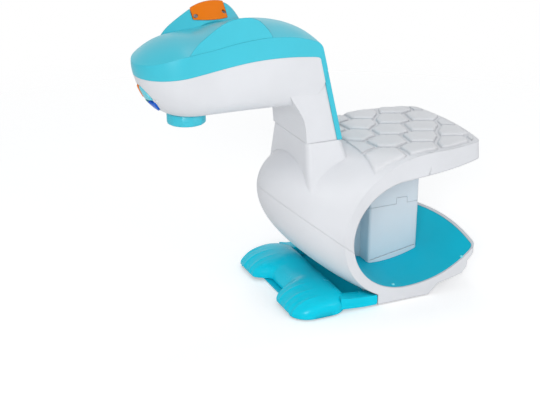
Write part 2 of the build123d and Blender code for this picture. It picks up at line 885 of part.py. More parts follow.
# Plate that closes the plinth, its screws and the feet
with BuildPart() as base_plate:
    with BuildSketch(Plane.XY.offset(FOOT_RISE)):
        with Locations((0, (PLATE_FRONT + PLATE_BACK) / 2)):
            Rectangle(2 * (PLATE_HALF - FIT), PLATE_BACK - PLATE_FRONT - 2 * FIT)
    extrude(amount=PLATE)
    with Locations(*[(x, y, FOOT_RISE) for x, y in BOSS_AT]):
        Cylinder(
            SCREW_R + SCREW_PLAY, 3 * PLATE, align=(Align.CENTER, Align.CENTER, Align.MIN), mode=Mode.SUBTRACT
        )
        Cylinder(
            SCREW_HEAD_R + FIT, SCREW_HEAD, align=(Align.CENTER, Align.CENTER, Align.MIN), mode=Mode.SUBTRACT
        )
    with Locations(*[(x, y, FOOT_RISE) for x, y in FEET_AT]):
        Cylinder(FOOT_R + FIT, FOOT_SINK, align=(Align.CENTER, Align.CENTER, Align.MIN), mode=Mode.SUBTRACT)
write(base_plate.part, "base_plate")

with BuildPart() as base_screws:
    with Locations(*[(x, y, FOOT_RISE) for x, y in BOSS_AT]):
        Cylinder(SCREW_HEAD_R, SCREW_HEAD, align=(Align.CENTER, Align.CENTER, Align.MIN))
        Cylinder(SCREW_R, SCREW_LENGTH, align=(Align.CENTER, Align.CENTER, Align.MIN))
        Box(3.6, 0.7, 0.6, align=(Align.CENTER, Align.CENTER, Align.MIN), mode=Mode.SUBTRACT)
        Box(0.7, 3.6, 0.6, align=(Align.CENTER, Align.CENTER, Align.MIN), mode=Mode.SUBTRACT)
write(base_screws.part, "base_screws")

with BuildPart() as rubber_feet:
    with Locations(*[(x, y, 0) for x, y in FEET_AT]):
        Cylinder(FOOT_R, FOOT_RISE + FOOT_SINK, align=(Align.CENTER, Align.CENTER, Align.MIN))
    with Locations(*[(side * (bed_half - BED_FOOT_INSET), BED_FOOT_Y, 0) for side in (-1, 1)]):
        Cylinder(BED_FOOT_R, FOOT_RISE, align=(Align.CENTER, Align.CENTER, Align.MIN))
write(rubber_feet.part, "rubber_feet")

# Head and neck as one form, divided at the seam of the cover
head_outer = head_form(0)
head_inner = head_form(HEAD_WALL)
neck_inner = neck_form(NECK_WALL)
below_cover = seam_of_cover()
fin_outer = fin_form(0)
fin_inner = fin_form(FIN_WALL)
lens_axis = Plane(origin=(0, LENS_Y, 0), z_dir=(0, 0, 1))

# Wall behind the flat button panel, as far as the inside of the head
with BuildPart() as panel_back:
    with BuildSketch(panel_plane(PANEL_WALL)):
        Circle(PANEL_R)
    extrude(amount=PANEL_WALL)
    add(head_form(HEAD_WALL / 2), mode=Mode.INTERSECT)

# White lower half of the head with the front of the neck
with BuildPart() as head_shell:
    add(head_outer)
    add(neck_form(0))
    add(below_cover, mode=Mode.INTERSECT)
    add(head_inner, mode=Mode.SUBTRACT)
    add(neck_inner, mode=Mode.SUBTRACT)
    # Posts under the lamp housing
    with BuildSketch(Plane.XY.offset(HEAD_LEVELS[0][0] + POST_RISE)):
        with Locations(*POST_AT):
            Circle(POST_R)
    extrude(amount=HOUSING_LOW + THROAT_HEIGHT - HEAD_LEVELS[0][0] - POST_RISE)
    # Flat round panel of the buttons, with posts behind it for their board
    with BuildSketch(panel_plane(0)):
        Rectangle(2 * HEAD_HALF, 2 * HEAD_HALF)
    extrude(amount=20, mode=Mode.SUBTRACT)
    add(panel_back.part)
    with BuildSketch(panel_plane(MAT_DEPTH)):
        Circle(KEY_RADIUS + FLANGE + 2 * FLANGE_GAP)
    extrude(amount=MAT_DEPTH - PANEL_WALL, mode=Mode.SUBTRACT)
    with BuildSketch(panel_plane(BOARD_DEPTH)):
        with Locations((-PANEL_POST_X, 0), (PANEL_POST_X, 0)):
            Circle(PANEL_POST_R)
    extrude(amount=BOARD_DEPTH - PANEL_WALL / 2)
    # Opening for the lens tube
    with BuildSketch(lens_axis.offset(HEAD_LEVELS[0][0] - 1)):
        Circle(TUBE_R + RUN)
    extrude(amount=10, mode=Mode.SUBTRACT)
    # Openings for the buttons
    for side in (-1, 1):
        for level in (-1, 1):
            add(quadrant(side, level, BUTTON_GAP, BUTTON_DEPTH, -BUTTON_DEPTH), mode=Mode.SUBTRACT)
    # Slot for the switch
    with BuildSketch(switch_plane().offset(-SPINE - 2 * NECK_WALL)):
        Rectangle(SWITCH_SLOT_X, SWITCH_SLOT)
    extrude(amount=SPINE + 3 * NECK_WALL, mode=Mode.SUBTRACT)
write(head_shell.part, "head_shell")

# Turquoise cover with its two fins and the spine down the back of the neck
with BuildPart() as head_cover:
    add(head_outer)
    with BuildSketch(Plane.YZ):
        Polygon(
            (back_y(NECK_SEAM_Z), NECK_SEAM_Z),
            (back_y(NECK_SEAM_Z, SPINE), NECK_SEAM_Z),
            (back_y(SPINE_TOP, SPINE), SPINE_TOP),
            (back_y(SPINE_TOP), SPINE_TOP),
            align=None,
        )
    extrude(amount=NECK_HALF, both=True)
    add(below_cover, mode=Mode.SUBTRACT)
    # Soft corner between the roof and the back
    fillet(
        head_cover.edges().filter_by_position(Axis.Y, -30, 20).filter_by_position(Axis.Z, 250, 275), HEEL_TOP_R
    )
    add(fin_outer)
    add(mirror(fin_outer, about=Plane.YZ))
    add(head_inner, mode=Mode.SUBTRACT)
    add(fin_inner, mode=Mode.SUBTRACT)
    add(mirror(fin_inner, about=Plane.YZ), mode=Mode.SUBTRACT)
    with BuildSketch(switch_plane().offset(-SPINE - 2 * NECK_WALL)):
        Rectangle(SWITCH_SLOT_X, SWITCH_SLOT)
    extrude(amount=SPINE + 3 * NECK_WALL, mode=Mode.SUBTRACT)
    # Seat of the card cover in the far fin
    with BuildSketch(Plane.XY.offset(CARD_Z)):
        with Locations((-FIN_X + FIN_DEPTH / 2, sum(CARD_Y) / 2)):
            Rectangle(2 * FIN_DEPTH, CARD_Y[1] - CARD_Y[0])
    extrude(amount=40, mode=Mode.SUBTRACT)
write(head_cover.part, "head_cover")

# Orange cover of the card socket, standing a little proud of the far fin
card_low = Plane.XY.offset(CARD_Z)
card_slope = radians(FIN_SLOPE)
screw_planes = [
    Plane(
        origin=(-FIN_X + CARD_SCREW_IN, y, z),
        x_dir=(0, 1, 0),
        z_dir=(sin(card_slope), 0, cos(card_slope)),
    )
    for y, z in CARD_SCREW_AT
]

with BuildPart() as card_cover:
    add(mirror(fin_form(-CARD_PROUD), about=Plane.YZ))
    add(mirror(fin_inner, about=Plane.YZ), mode=Mode.SUBTRACT)
    with BuildSketch(card_low):
        with Locations((-FIN_X + FIN_DEPTH / 2, sum(CARD_Y) / 2)):
            Rectangle(2 * FIN_DEPTH, CARD_Y[1] - CARD_Y[0] - 2 * CARD_GAP)
    extrude(amount=40, mode=Mode.INTERSECT)
    for plane in screw_planes:
        with BuildSketch(plane.offset(-8)):
            Circle(CARD_SCREW_R + SCREW_PLAY)
        extrude(amount=12, mode=Mode.SUBTRACT)
        with BuildSketch(plane.offset(CARD_PROUD - 0.8)):
            Circle(CARD_HEAD_R + FIT)
        extrude(amount=6, mode=Mode.SUBTRACT)
write(card_cover.part, "card_cover")

with BuildPart() as card_cover_screws:
    for plane in screw_planes:
        with BuildSketch(plane.offset(CARD_PROUD - 0.8)):
            Circle(CARD_HEAD_R)
        extrude(amount=0.9)
        with BuildSketch(plane.offset(-6)):
            Circle(CARD_SCREW_R)
        extrude(amount=6)
        with BuildSketch(plane.offset(CARD_PROUD - 0.4)):
            Rectangle(2.2, 0.5)
            Rectangle(0.5, 2.2)
        extrude(amount=1, mode=Mode.SUBTRACT)
write(card_cover_screws.part, "card_cover_screws")

# Lens: fixed tube, focus ring that turns on it, barrel that slides in it
with BuildPart() as lens_tube:
    with BuildSketch(lens_axis.offset(RING_LOW + 0.6)):
        Circle(TUBE_R)
    extrude(amount=TUBE_TOP - RING_LOW - 0.6)
    with BuildSketch(lens_axis.offset(RING_LOW + 0.6)):
        Circle(TUBE_R + TUBE_LIP)
    extrude(amount=1.2)
    with BuildSketch(lens_axis.offset(HEAD_LEVELS[0][0] + HEAD_WALL + 0.1)):
        Circle(TUBE_R + TUBE_FLANGE)
    extrude(amount=2)
    with BuildSketch(lens_axis.offset(RING_LOW)):
        Circle(BARREL_R + RUN)
    extrude(amount=40, mode=Mode.SUBTRACT)
write(lens_tube.part, "lens_tube")

ring_height = HEAD_LEVELS[0][0] - RING_GAP - RING_LOW
with BuildPart() as focus_ring:
    with BuildSketch(lens_axis.offset(RING_LOW)):
        Circle(RING_R)
        with PolarLocations(RING_R + 0.5, RIBS):
            Circle(1.1, mode=Mode.SUBTRACT)
    extrude(amount=ring_height)
    with BuildSketch(lens_axis.offset(RING_LOW)):
        Circle(TUBE_R + RUN)
    extrude(amount=ring_height, mode=Mode.SUBTRACT)
    with BuildSketch(lens_axis.offset(RING_LOW)):
        Circle(TUBE_R + TUBE_LIP + RUN)
    extrude(amount=0.6 + 1.2 + 0.1, mode=Mode.SUBTRACT)
write(focus_ring.part, "focus_ring")

with BuildPart() as lens_barrel:
    with BuildSketch(lens_axis.offset(BARREL_LOW)):
        Circle(BARREL_R)
    extrude(amount=BARREL_LENGTH)
    with BuildSketch(lens_axis.offset(BARREL_LOW)):
        Circle(LENS_STOP_R)
    extrude(amount=BARREL_LENGTH, mode=Mode.SUBTRACT)
    for low, high in (
        (BARREL_LOW, FRONT_LENS_Z + LENS_EDGE),
        (REAR_LENS_Z, BARREL_LOW + BARREL_LENGTH),
    ):
        with BuildSketch(lens_axis.offset(low)):
            Circle(LENS_R + RUN)
        extrude(amount=high - low, mode=Mode.SUBTRACT)
write(lens_barrel.part, "lens_barrel")


def lens_form(low, edge, radius, bulge_low, bulge_high):
    """Round lens with a flat rim and domed faces."""
    dome = radius - LENS_RIM
    with BuildPart() as form:
        with BuildSketch(Plane(origin=(0, LENS_Y, 0), x_dir=(1, 0, 0), z_dir=(0, -1, 0))):
            with BuildLine():
                Line((0, low - bulge_low), (0, low + edge + bulge_high))
                TangentArc((0, low + edge + bulge_high), (dome, low + edge), tangent=(1, 0))
                Polyline((dome, low + edge), (radius, low + edge), (radius, low), (dome, low))
                TangentArc((0, low - bulge_low), (dome, low), tangent=(1, 0))
            make_face()
        revolve(axis=Axis((0, LENS_Y, 0), (0, 0, 1)))
    return form.part


front_lens = lens_form(FRONT_LENS_Z, LENS_EDGE, LENS_R, 1.0, 1.2)
write(front_lens, "front_lens")
rear_lens = lens_form(REAR_LENS_Z, LENS_EDGE, LENS_R, 1.0, 1.6)
write(rear_lens, "rear_lens")

# Lamp housing over the lens, with ledges for the picture panel, the condenser and the lamp board
housing_top = HOUSING_LOW + HOUSING_HEIGHT
shoulder = HOUSING_LOW + THROAT_HEIGHT
inner_half = HOUSING_HALF - HOUSING_WALL
with BuildPart() as lamp_housing:
    with BuildSketch(lens_axis.offset(HOUSING_LOW)):
        RectangleRounded(2 * THROAT_HALF, 2 * THROAT_HALF, 3)
    extrude(amount=THROAT_HEIGHT)
    with BuildSketch(lens_axis.offset(shoulder)):
        RectangleRounded(2 * HOUSING_HALF, 2 * HOUSING_HALF, 3)
    extrude(amount=housing_top - shoulder)
    for low, high, half in (
        (HOUSING_LOW + HOUSING_WALL, shoulder + HOUSING_WALL, THROAT_HALF - HOUSING_WALL),
        (shoulder + HOUSING_WALL, LCD_Z, inner_half - LEDGE),
        (LCD_Z, CONDENSER_Z - LEDGE, inner_half),
        (CONDENSER_Z, LED_BOARD_Z - LEDGE, inner_half),
        (LED_BOARD_Z - LEDGE, LED_BOARD_Z, inner_half - LEDGE),
        (LED_BOARD_Z, housing_top, inner_half),
    ):
        with BuildSketch(lens_axis.offset(low)):
            RectangleRounded(2 * half, 2 * half, 1.5)
        extrude(amount=high - low, mode=Mode.SUBTRACT)
    with BuildSketch(lens_axis.offset(HOUSING_LOW)):
        Circle(BARREL_R + 1)
    extrude(amount=5, mode=Mode.SUBTRACT)
    with BuildSketch(lens_axis.offset(CONDENSER_Z - LEDGE)):
        Circle(CONDENSER_R - LEDGE)
    extrude(amount=LEDGE, mode=Mode.SUBTRACT)
write(lamp_housing.part, "lamp_housing")

with BuildPart() as lcd_panel:
    with BuildSketch(lens_axis.offset(LCD_Z)):
        RectangleRounded(2 * inner_half - 2 * FIT, 2 * inner_half - 2 * FIT, 1.5)
    extrude(amount=1.6)
    with BuildSketch(lens_axis.offset(LCD_Z + 1.4)):
        Rectangle(34, 26)
    extrude(amount=1, mode=Mode.SUBTRACT)
write(lcd_panel.part, "lcd_panel")

condenser_lens = lens_form(CONDENSER_Z, 2.5, CONDENSER_R, 1.0, 5.5)
write(condenser_lens, "condenser_lens")

with BuildPart() as led_board:
    with BuildSketch(lens_axis.offset(LED_BOARD_Z)):
        RectangleRounded(2 * inner_half - 2 * FIT, 2 * inner_half - 2 * FIT, 1.5)
    extrude(amount=housing_top - LED_BOARD_Z)
write(led_board.part, "led_board")

with BuildPart() as led_lamp:
    with BuildSketch(lens_axis.offset(LED_BOARD_Z)):
        RectangleRounded(11, 11, 1.5)
    extrude(amount=-1)
    with BuildSketch(Plane(origin=(0, LENS_Y, 0), x_dir=(1, 0, 0), z_dir=(0, -1, 0))):
        with BuildLine():
            Line((0, LED_BOARD_Z - 1), (4.2, LED_BOARD_Z - 1))
            TangentArc((0, LED_BOARD_Z - 4), (4.2, LED_BOARD_Z - 1), tangent=(1, 0))
            Line((0, LED_BOARD_Z - 4), (0, LED_BOARD_Z - 1))
        make_face()
    revolve(axis=Axis((0, LENS_Y, 0), (0, 0, 1)))
write(led_lamp.part, "led_lamp")

with BuildPart() as heat_sink:
    with BuildSketch(lens_axis.offset(housing_top)):
        RectangleRounded(2 * HOUSING_HALF, 2 * SINK_HALF, 2)
    extrude(amount=1.6)
    with BuildSketch(lens_axis.offset(housing_top)):
        with GridLocations(SINK_PITCH, 0, SINK_FINS, 1):
            Rectangle(1.2, 2 * SINK_HALF - 2)
    extrude(amount=SINK_HEIGHT)
write(heat_sink.part, "heat_sink")

# Four quarter buttons in the nose, with the silicone pad and the board behind them
for name, side, level in (
    ("button_orange", -1, 1),
    ("button_light", 1, 1),
    ("button_teal", -1, -1),
    ("button_blue", 1, -1),
):
    with BuildPart() as button:
        add(quadrant(side, level, 0, BUTTON_DEPTH, -BUTTON_PROUD))
        chamfer(button.faces().sort_by(Axis((0, 0, 0), panel_plane(0).z_dir))[-1].edges(), BUTTON_EDGE)
        add(quadrant(side, level, FLANGE, BUTTON_DEPTH, PANEL_WALL + FLANGE_GAP))
    write(button.part, name)

with BuildPart() as button_pad:
    with BuildSketch(panel_plane(BOARD_DEPTH)):
        RectangleRounded(2 * PANEL_POST_X - 6, KEY_BOARD_HIGH, 5)
    extrude(amount=BOARD_DEPTH - MAT_DEPTH)
    with BuildSketch(panel_plane(MAT_DEPTH)):
        for side in (-1, 1):
            for level in (-1, 1):
                with Locations((side * DOME_AT, level * DOME_AT)):
                    Circle(DOME_R)
    extrude(amount=MAT_DEPTH - BUTTON_DEPTH - BUTTON_TRAVEL - 0.1, taper=20)
write(button_pad.part, "button_pad")

with BuildPart() as button_board:
    with BuildSketch(panel_plane(BOARD_DEPTH)):
        RectangleRounded(2 * (PANEL_POST_X + PANEL_POST_R), KEY_BOARD_HIGH, 3)
    extrude(amount=-KEY_BOARD)
    with BuildSketch(panel_plane(BOARD_DEPTH + KEY_BOARD)):
        with Locations((0, 5)):
            Rectangle(8, 5)
    extrude(amount=-1.5)
write(button_board.part, "button_board")

# Power switch on the back of the neck
slope_back = switch_plane()
with BuildPart() as power_switch:
    with BuildSketch(slope_back.offset(SWITCH_PROUD)):
        with Locations((0, SWITCH_TRAVEL / 2)):
            RectangleRounded(SWITCH_SLOT_X - 2 * FIT, SWITCH_SLOT - SWITCH_TRAVEL - 0.8, 0.8)
    extrude(amount=-SWITCH_PROUD - SWITCH_DEPTH)
    for step in (-1, 0, 1):
        with BuildSketch(slope_back.offset(SWITCH_PROUD)):
            with Locations((0, SWITCH_TRAVEL / 2 + 1.8 * step)):
                Rectangle(SWITCH_SLOT_X - 2, 0.7)
        extrude(amount=0.5)
write(power_switch.part, "power_switch")

with BuildPart() as switch_block:
    with BuildSketch(slope_back.offset(-SWITCH_DEPTH - 0.15)):
        Rectangle(14, 19)
    extrude(amount=-6)
    with BuildSketch(slope_back.offset(-SWITCH_DEPTH - 6)):
        with GridLocations(4, 0, 3, 1):
            Rectangle(1.2, 3)
    extrude(amount=-4)
write(switch_block.part, "switch_block")

# Battery pillar with its web to the cavity wall
with BuildPart() as pillar_room:
    extrude(cavity_profile(-SEAT_GAP), amount=PILLAR_HALF, both=True)
    with BuildSketch(Plane.YZ):
        with Locations(((POCKET_FRONT_Y + FIT + PILLAR_Y[1]) / 2, SHELF_TOP - SHELF_WALL - 20)):
            Rectangle(PILLAR_Y[1] - POCKET_FRONT_Y - FIT, 40)
    extrude(amount=PILLAR_HALF, both=True)

door_face = PILLAR_HALF - DOOR
with BuildPart() as battery_box:
    add(pillar_form(0))
    with BuildSketch(Plane.XY):
        with Locations((WEB / 2 - PILLAR_HALF, (PILLAR_Y[0] + PILLAR_CORNER) / 2)):
            Rectangle(WEB, PILLAR_Y[0] + PILLAR_CORNER)
    extrude(amount=SHELF_TOP - SHELF_SKIRT)
    add(pillar_room.part, mode=Mode.INTERSECT)
    # Seat of the door
    add(door_block(DOOR_GAP, 0.1), mode=Mode.SUBTRACT)
    # Bays with half-round backs for the cells
    with BuildSketch(Plane.XY.offset(CELL_LOW - CONTACT)):
        with Locations((door_face / 2, (BAY_Y[0] + BAY_Y[1]) / 2)):
            Rectangle(door_face, BAY_Y[1] - BAY_Y[0])
        with Locations(*[(0, y) for y in CELL_AT]):
            Circle(CELL_R + CELL_PLAY)
    extrude(amount=CELL_LENGTH + 2 * CONTACT, mode=Mode.SUBTRACT)
    # Pocket of the power jack
    with BuildSketch(Plane.XZ.offset(-PILLAR_Y[1])):
        with Locations((0, JACK_Z)):
            Rectangle(JACK_X + 0.3, JACK_HEIGHT + 0.3)
    extrude(amount=JACK_LENGTH, mode=Mode.SUBTRACT)
write(battery_box.part, "battery_box")

# Battery door; its lower edge is round about the hinge line
door_along = Vector(0, PILLAR_Y[1] - PILLAR_Y[0], DOOR_LOW[1] - DOOR_LOW[0]).normalized()
hinge_start = Vector(PILLAR_HALF, PILLAR_Y[0], DOOR_LOW[0]) + Vector(-1, -door_along.Z, door_along.Y) * (DOOR / 2)
with BuildPart() as battery_door:
    add(door_block(0, 0))
    add(pillar_form(0), mode=Mode.INTERSECT)
    with BuildSketch(Plane(origin=hinge_start, x_dir=(1, 0, 0), z_dir=door_along)):
        Circle(DOOR / 2 - DOOR_PLAY)
        with Locations((0, -SHELF_TOP / 2)):
            Rectangle(2 * DOOR, SHELF_TOP)
    extrude(amount=PILLAR_Y[1], both=True, mode=Mode.INTERSECT)
write(battery_door.part, "battery_door")

with BuildPart() as batteries:
    for y, up in zip(CELL_AT, (1, -1, 1)):
        with BuildSketch(Plane.XY.offset(CELL_LOW + (0 if up > 0 else CELL_NUB))):
            with Locations((0, y)):
                Circle(CELL_R)
        extrude(amount=CELL_LENGTH - CELL_NUB)
        with BuildSketch(Plane.XY.offset(CELL_LOW)):
            with Locations((0, y)):
                Circle(2.7)
        extrude(amount=CELL_LENGTH)
write(batteries.part, "batteries")

with BuildPart() as battery_contacts:
    for low in (CELL_LOW - CONTACT, CELL_LOW + CELL_LENGTH + CONTACT - CONTACT_PLATE):
        with BuildSketch(Plane.XY.offset(low)):
            with Locations(*[(0, y) for y in CELL_AT]):
                Rectangle(9, 11)
        extrude(amount=CONTACT_PLATE)
    for y in CELL_AT:
        with Locations((0, y, CELL_LOW - CONTACT + CONTACT_PLATE)):
            Cone(4.2, 2.6, CONTACT - CONTACT_PLATE, align=(Align.CENTER, Align.CENTER, Align.MIN))
        with Locations((0, y, CELL_LOW + CELL_LENGTH)):
            Cone(2.6, 4.2, CONTACT - CONTACT_PLATE, align=(Align.CENTER, Align.CENTER, Align.MIN))
write(battery_contacts.part, "battery_contacts")

with BuildPart() as power_jack:
    with BuildSketch(Plane.XZ.offset(-PILLAR_Y[1] - 0.4)):
        with Locations((0, JACK_Z)):
            Rectangle(JACK_X, JACK_HEIGHT)
    extrude(amount=JACK_LENGTH)
    with BuildSketch(Plane.XZ.offset(-PILLAR_Y[1] - 0.4)):
        with Locations((0, JACK_Z)):
            Circle(JACK_BORE)
            Circle(JACK_PIN, mode=Mode.SUBTRACT)
    extrude(amount=JACK_DEPTH, mode=Mode.SUBTRACT)
write(power_jack.part, "power_jack")

# Paper clamp: hollow crowned grip on two arms that turn on pins under the body
with BuildPart() as clamp_hollow:
    with BuildSketch(Plane.YZ):
        with BuildLine():
            top = Spline(*[(y, z - CLAMP_WALL) for y, z in CLAMP_CROWN])
            Polyline(top @ 1, (CLAMP_CROWN[-1][0], 0), (CLAMP_CROWN[0][0], 0), top @ 0)
        make_face()
    extrude(amount=CLAMP_HALF, both=True)
    extrude(clamp_plan(CLAMP_WALL), amount=60, mode=Mode.INTERSECT)

with BuildPart() as paper_clamp:
    add(clamp_form())
    # Raised ribs at both ends
    for side in (-1, 1):
        for k in range(CLAMP_RIBS):
            with BuildSketch(Plane.YZ.offset(side * (CLAMP_HALF - RIB_END - k * RIB_PITCH))):
                with BuildLine():
                    top = Spline(*[(y, z + RIB_RISE) for y, z in CLAMP_CROWN[1:]])
                    Polyline(top @ 1, (CLAMP_CROWN[-1][0], 8), (CLAMP_CROWN[1][0], 8), top @ 0)
                make_face()
            extrude(amount=RIB_WIDTH / 2, both=True)
    extrude(clamp_plan(0), amount=60, mode=Mode.INTERSECT)
    add(clamp_hollow.part, mode=Mode.SUBTRACT)
    # Arms back to the pins
    for side in (-1, 1):
        with BuildSketch(Plane.YZ.offset(side * (arm_in + arm_out) / 2)):
            with BuildLine():
                Polyline(*ARM_OUTLINE, close=True)
            make_face()
            with Locations((PIVOT_Y, PIVOT_Z)):
                Circle(ARM_END_R)
        extrude(amount=ARM_WIDTH / 2, both=True)
    with BuildSketch(Plane.YZ):
        with Locations((PIVOT_Y, PIVOT_Z)):
            Circle(PIN_R + RUN)
    extrude(amount=CLAMP_HALF, both=True, mode=Mode.SUBTRACT)
    # Room for the bed under the grip
    with BuildSketch(Plane.XY):
        with Locations((0, 0)):
            Rectangle(2 * bed_half + 2, 100)
    extrude(amount=BED_TOP + BED_ROOM, mode=Mode.SUBTRACT)
write(paper_clamp.part, "paper_clamp")

with BuildPart() as clamp_bed:
    with BuildSketch(Plane.XY.offset(FOOT_RISE)) as bed_plan:
        with Locations((0, (BED_FRONT + PLINTH_FRONT) / 2)):
            Rectangle(2 * bed_half, PLINTH_FRONT - BED_FRONT)
        fillet(bed_plan.vertices().group_by(Axis.Y)[0], 10)
        with Locations((0, (PIVOT_Y - EAR_R + PLINTH_FRONT) / 2)):
            Rectangle(2 * ear_x + EAR_WIDTH, PLINTH_FRONT - PIVOT_Y + EAR_R)
    extrude(amount=BED)
    for side in (-1, 1):
        with BuildSketch(Plane.YZ.offset(side * ear_x)):
            with Locations((PIVOT_Y, (FOOT_RISE + PIVOT_Z) / 2)):
                Rectangle(2 * EAR_R, PIVOT_Z - FOOT_RISE)
            with Locations((PIVOT_Y, PIVOT_Z)):
                Circle(EAR_R)
        extrude(amount=EAR_WIDTH / 2, both=True)
    with BuildSketch(Plane.YZ):
        with Locations((PIVOT_Y, PIVOT_Z)):
            Circle(PIN_R + RUN)
    extrude(amount=CLAMP_HALF, both=True, mode=Mode.SUBTRACT)
write(clamp_bed.part, "clamp_bed")

with BuildPart() as clamp_pins:
    for side in (-1, 1):
        with BuildSketch(Plane.YZ.offset(side * pin_in)):
            with Locations((PIVOT_Y, PIVOT_Z)):
                Circle(PIN_R)
        extrude(amount=side * (arm_out + PIN_PROUD - pin_in))
        with BuildSketch(Plane.YZ.offset(side * pin_in)):
            with Locations((PIVOT_Y, PIVOT_Z)):
                Circle(PIN_HEAD_R)
        extrude(amount=-side * 0.8)
write(clamp_pins.part, "clamp_pins")

# Board and speaker inside the belly
with BuildPart() as main_board:
    with BuildSketch(Plane.XZ.offset(-BOARD_Y)):
        with Locations((0, BOARD_Z)):
            Rectangle(BOARD_X, BOARD_HEIGHT)
        with Locations(*STANDOFF_AT):
            Circle(SCREW_R + SCREW_PLAY, mode=Mode.SUBTRACT)
    extrude(amount=1.6)
    with BuildSketch(Plane.XZ.offset(-BOARD_Y + 1.6)):
        with Locations((0, BOARD_Z + 4)):
            Rectangle(14, 14)
        with Locations((-24, BOARD_Z - 12), (22, BOARD_Z + 14)):
            Rectangle(9, 6)
    extrude(amount=1.4)
    with BuildSketch(Plane.XZ.offset(-BOARD_Y + 1.6)):
        with Locations((27, BOARD_Z - 12), (27, BOARD_Z)):
            Circle(4)
    extrude(amount=9)
write(main_board.part, "main_board")

with BuildPart() as speaker:
    with BuildSketch(Plane.XZ.offset(-SPEAKER_Y)):
        with Locations((0, SPEAKER_Z)):
            Circle(SPEAKER_R)
    extrude(amount=2)
    with BuildSketch(Plane.XZ.offset(-SPEAKER_Y)):
        with Locations((0, SPEAKER_Z)):
            Circle(SPEAKER_R - 2)
    extrude(amount=7)
    with BuildSketch(Plane.XZ.offset(-SPEAKER_Y)):
        with Locations((0, SPEAKER_Z)):
            Circle(SPEAKER_R - 7)
    extrude(amount=-3)
write(speaker.part, "speaker")
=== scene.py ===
import bpy
import json
from math import cos, exp, pi, radians, sin, sqrt
from mathutils import Matrix, Vector


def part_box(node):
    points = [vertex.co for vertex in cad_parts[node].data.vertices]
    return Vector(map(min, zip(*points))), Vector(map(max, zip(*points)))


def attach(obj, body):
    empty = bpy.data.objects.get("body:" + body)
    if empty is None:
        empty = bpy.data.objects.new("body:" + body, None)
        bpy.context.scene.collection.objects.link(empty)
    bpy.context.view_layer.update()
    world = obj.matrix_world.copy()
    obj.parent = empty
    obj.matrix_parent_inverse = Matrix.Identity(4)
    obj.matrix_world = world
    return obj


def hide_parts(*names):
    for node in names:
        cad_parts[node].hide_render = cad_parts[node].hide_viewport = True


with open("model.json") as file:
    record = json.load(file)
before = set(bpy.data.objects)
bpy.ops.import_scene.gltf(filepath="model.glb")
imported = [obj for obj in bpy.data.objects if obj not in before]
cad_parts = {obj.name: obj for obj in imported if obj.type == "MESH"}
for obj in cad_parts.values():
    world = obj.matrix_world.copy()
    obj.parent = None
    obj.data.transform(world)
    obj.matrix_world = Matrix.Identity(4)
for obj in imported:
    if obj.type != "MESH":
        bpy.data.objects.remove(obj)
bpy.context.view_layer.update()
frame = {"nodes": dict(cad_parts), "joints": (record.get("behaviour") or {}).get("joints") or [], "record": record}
scene = bpy.context.scene
MM = 0.001

# Camera at the photograph's place
PHOTO = (540, 405)
CAMERA_AT = (0.8984, -0.4326, 0.495)
AZIMUTH = radians(66.2)
PITCH = radians(22.2)
SENSOR = 36.0
LENS = 73.4
CLIP_START = 0.01
cam_data = bpy.data.cameras.new("camera")
cam_data.sensor_width = SENSOR
cam_data.lens = LENS
cam_data.clip_start = CLIP_START
camera = bpy.data.objects.new("camera", cam_data)
camera.location = CAMERA_AT
camera.rotation_euler = (radians(90) - PITCH, 0, AZIMUTH)
scene.collection.objects.link(camera)
scene.camera = camera
scene.view_settings.view_transform = "Standard"
bpy.context.view_layer.update()


def spot_on(node, pixel):
    """Point of a node that the photograph shows at a pixel, or None."""
    across = (pixel[0] - PHOTO[0] / 2) / PHOTO[0] * SENSOR / LENS
    up = (PHOTO[1] / 2 - pixel[1]) / PHOTO[0] * SENSOR / LENS
    eye = camera.matrix_world.translation
    ray = camera.matrix_world.to_3x3() @ Vector((across, up, -1)).normalized()
    hit, point = frame["nodes"][node].ray_cast(eye, ray)[:2]
    return point if hit else None


# Materials. Ends are the two input values between which a ramp runs, the rest are settings of nodes
CLOUD_SCALE = 14.0
CLOUD_DETAIL = 4.0
CLOUD_ENDS = (0.35, 0.65)
CLOUD_DRIFT = 0.03
SMEAR_SCALE = 60.0
SMEAR_DETAIL = 5.0
SMEAR_ROUGH = 0.6
SMEAR_ENDS = (0.3, 0.7)
SMEAR_LESS = 0.04
SMEAR_MORE = 0.05
GRAIN_SCALE = 2600.0
GRAIN_DETAIL = 2.0
GRAIN_DEEP = 0.0002
SEAM_REACH = 0.0035
SEAM_ENDS = (0.25, 0.85)
RAY_SAMPLES = 6
METAL_SCALE = 400.0
METAL_DETAIL = 4.0
METAL_ROUGH = 0.7
METAL_ENDS = (0.3, 0.7)
METAL_WORN = 0.85
METAL_SPREAD = 0.15
GLASS_IOR = 1.5
GLASS_SCALE = 300.0
GLASS_DETAIL = 4.0
GLASS_ENDS = (0.4, 0.8)
GLASS_CLEAN = 0.01
GLASS_DUSTY = 0.06


def shader_of(material):
    """Node tree with a principled shader on its output."""
    material.use_nodes = True
    tree = material.node_tree
    tree.nodes.clear()
    out = tree.nodes.new("ShaderNodeOutputMaterial")
    shader = tree.nodes.new("ShaderNodeBsdfPrincipled")
    tree.links.new(shader.outputs["BSDF"], out.inputs["Surface"])
    return tree, shader


def noise(tree, scale, detail, rough=0.5):
    """Noise in the object's own space."""
    where = tree.nodes.new("ShaderNodeTexCoord")
    node = tree.nodes.new("ShaderNodeTexNoise")
    node.inputs["Scale"].default_value = scale
    node.inputs["Detail"].default_value = detail
    node.inputs["Roughness"].default_value = rough
    tree.links.new(where.outputs["Object"], node.inputs["Vector"])
    return node


def ramp(tree, source, ends, low, high):
    """Colour low below the first end, high above the second."""
    node = tree.nodes.new("ShaderNodeValToRGB")
    for element, end, colour in zip(node.color_ramp.elements, ends, (low, high)):
        element.position = end
        element.color = colour
    tree.links.new(source, node.inputs["Fac"])
    return node


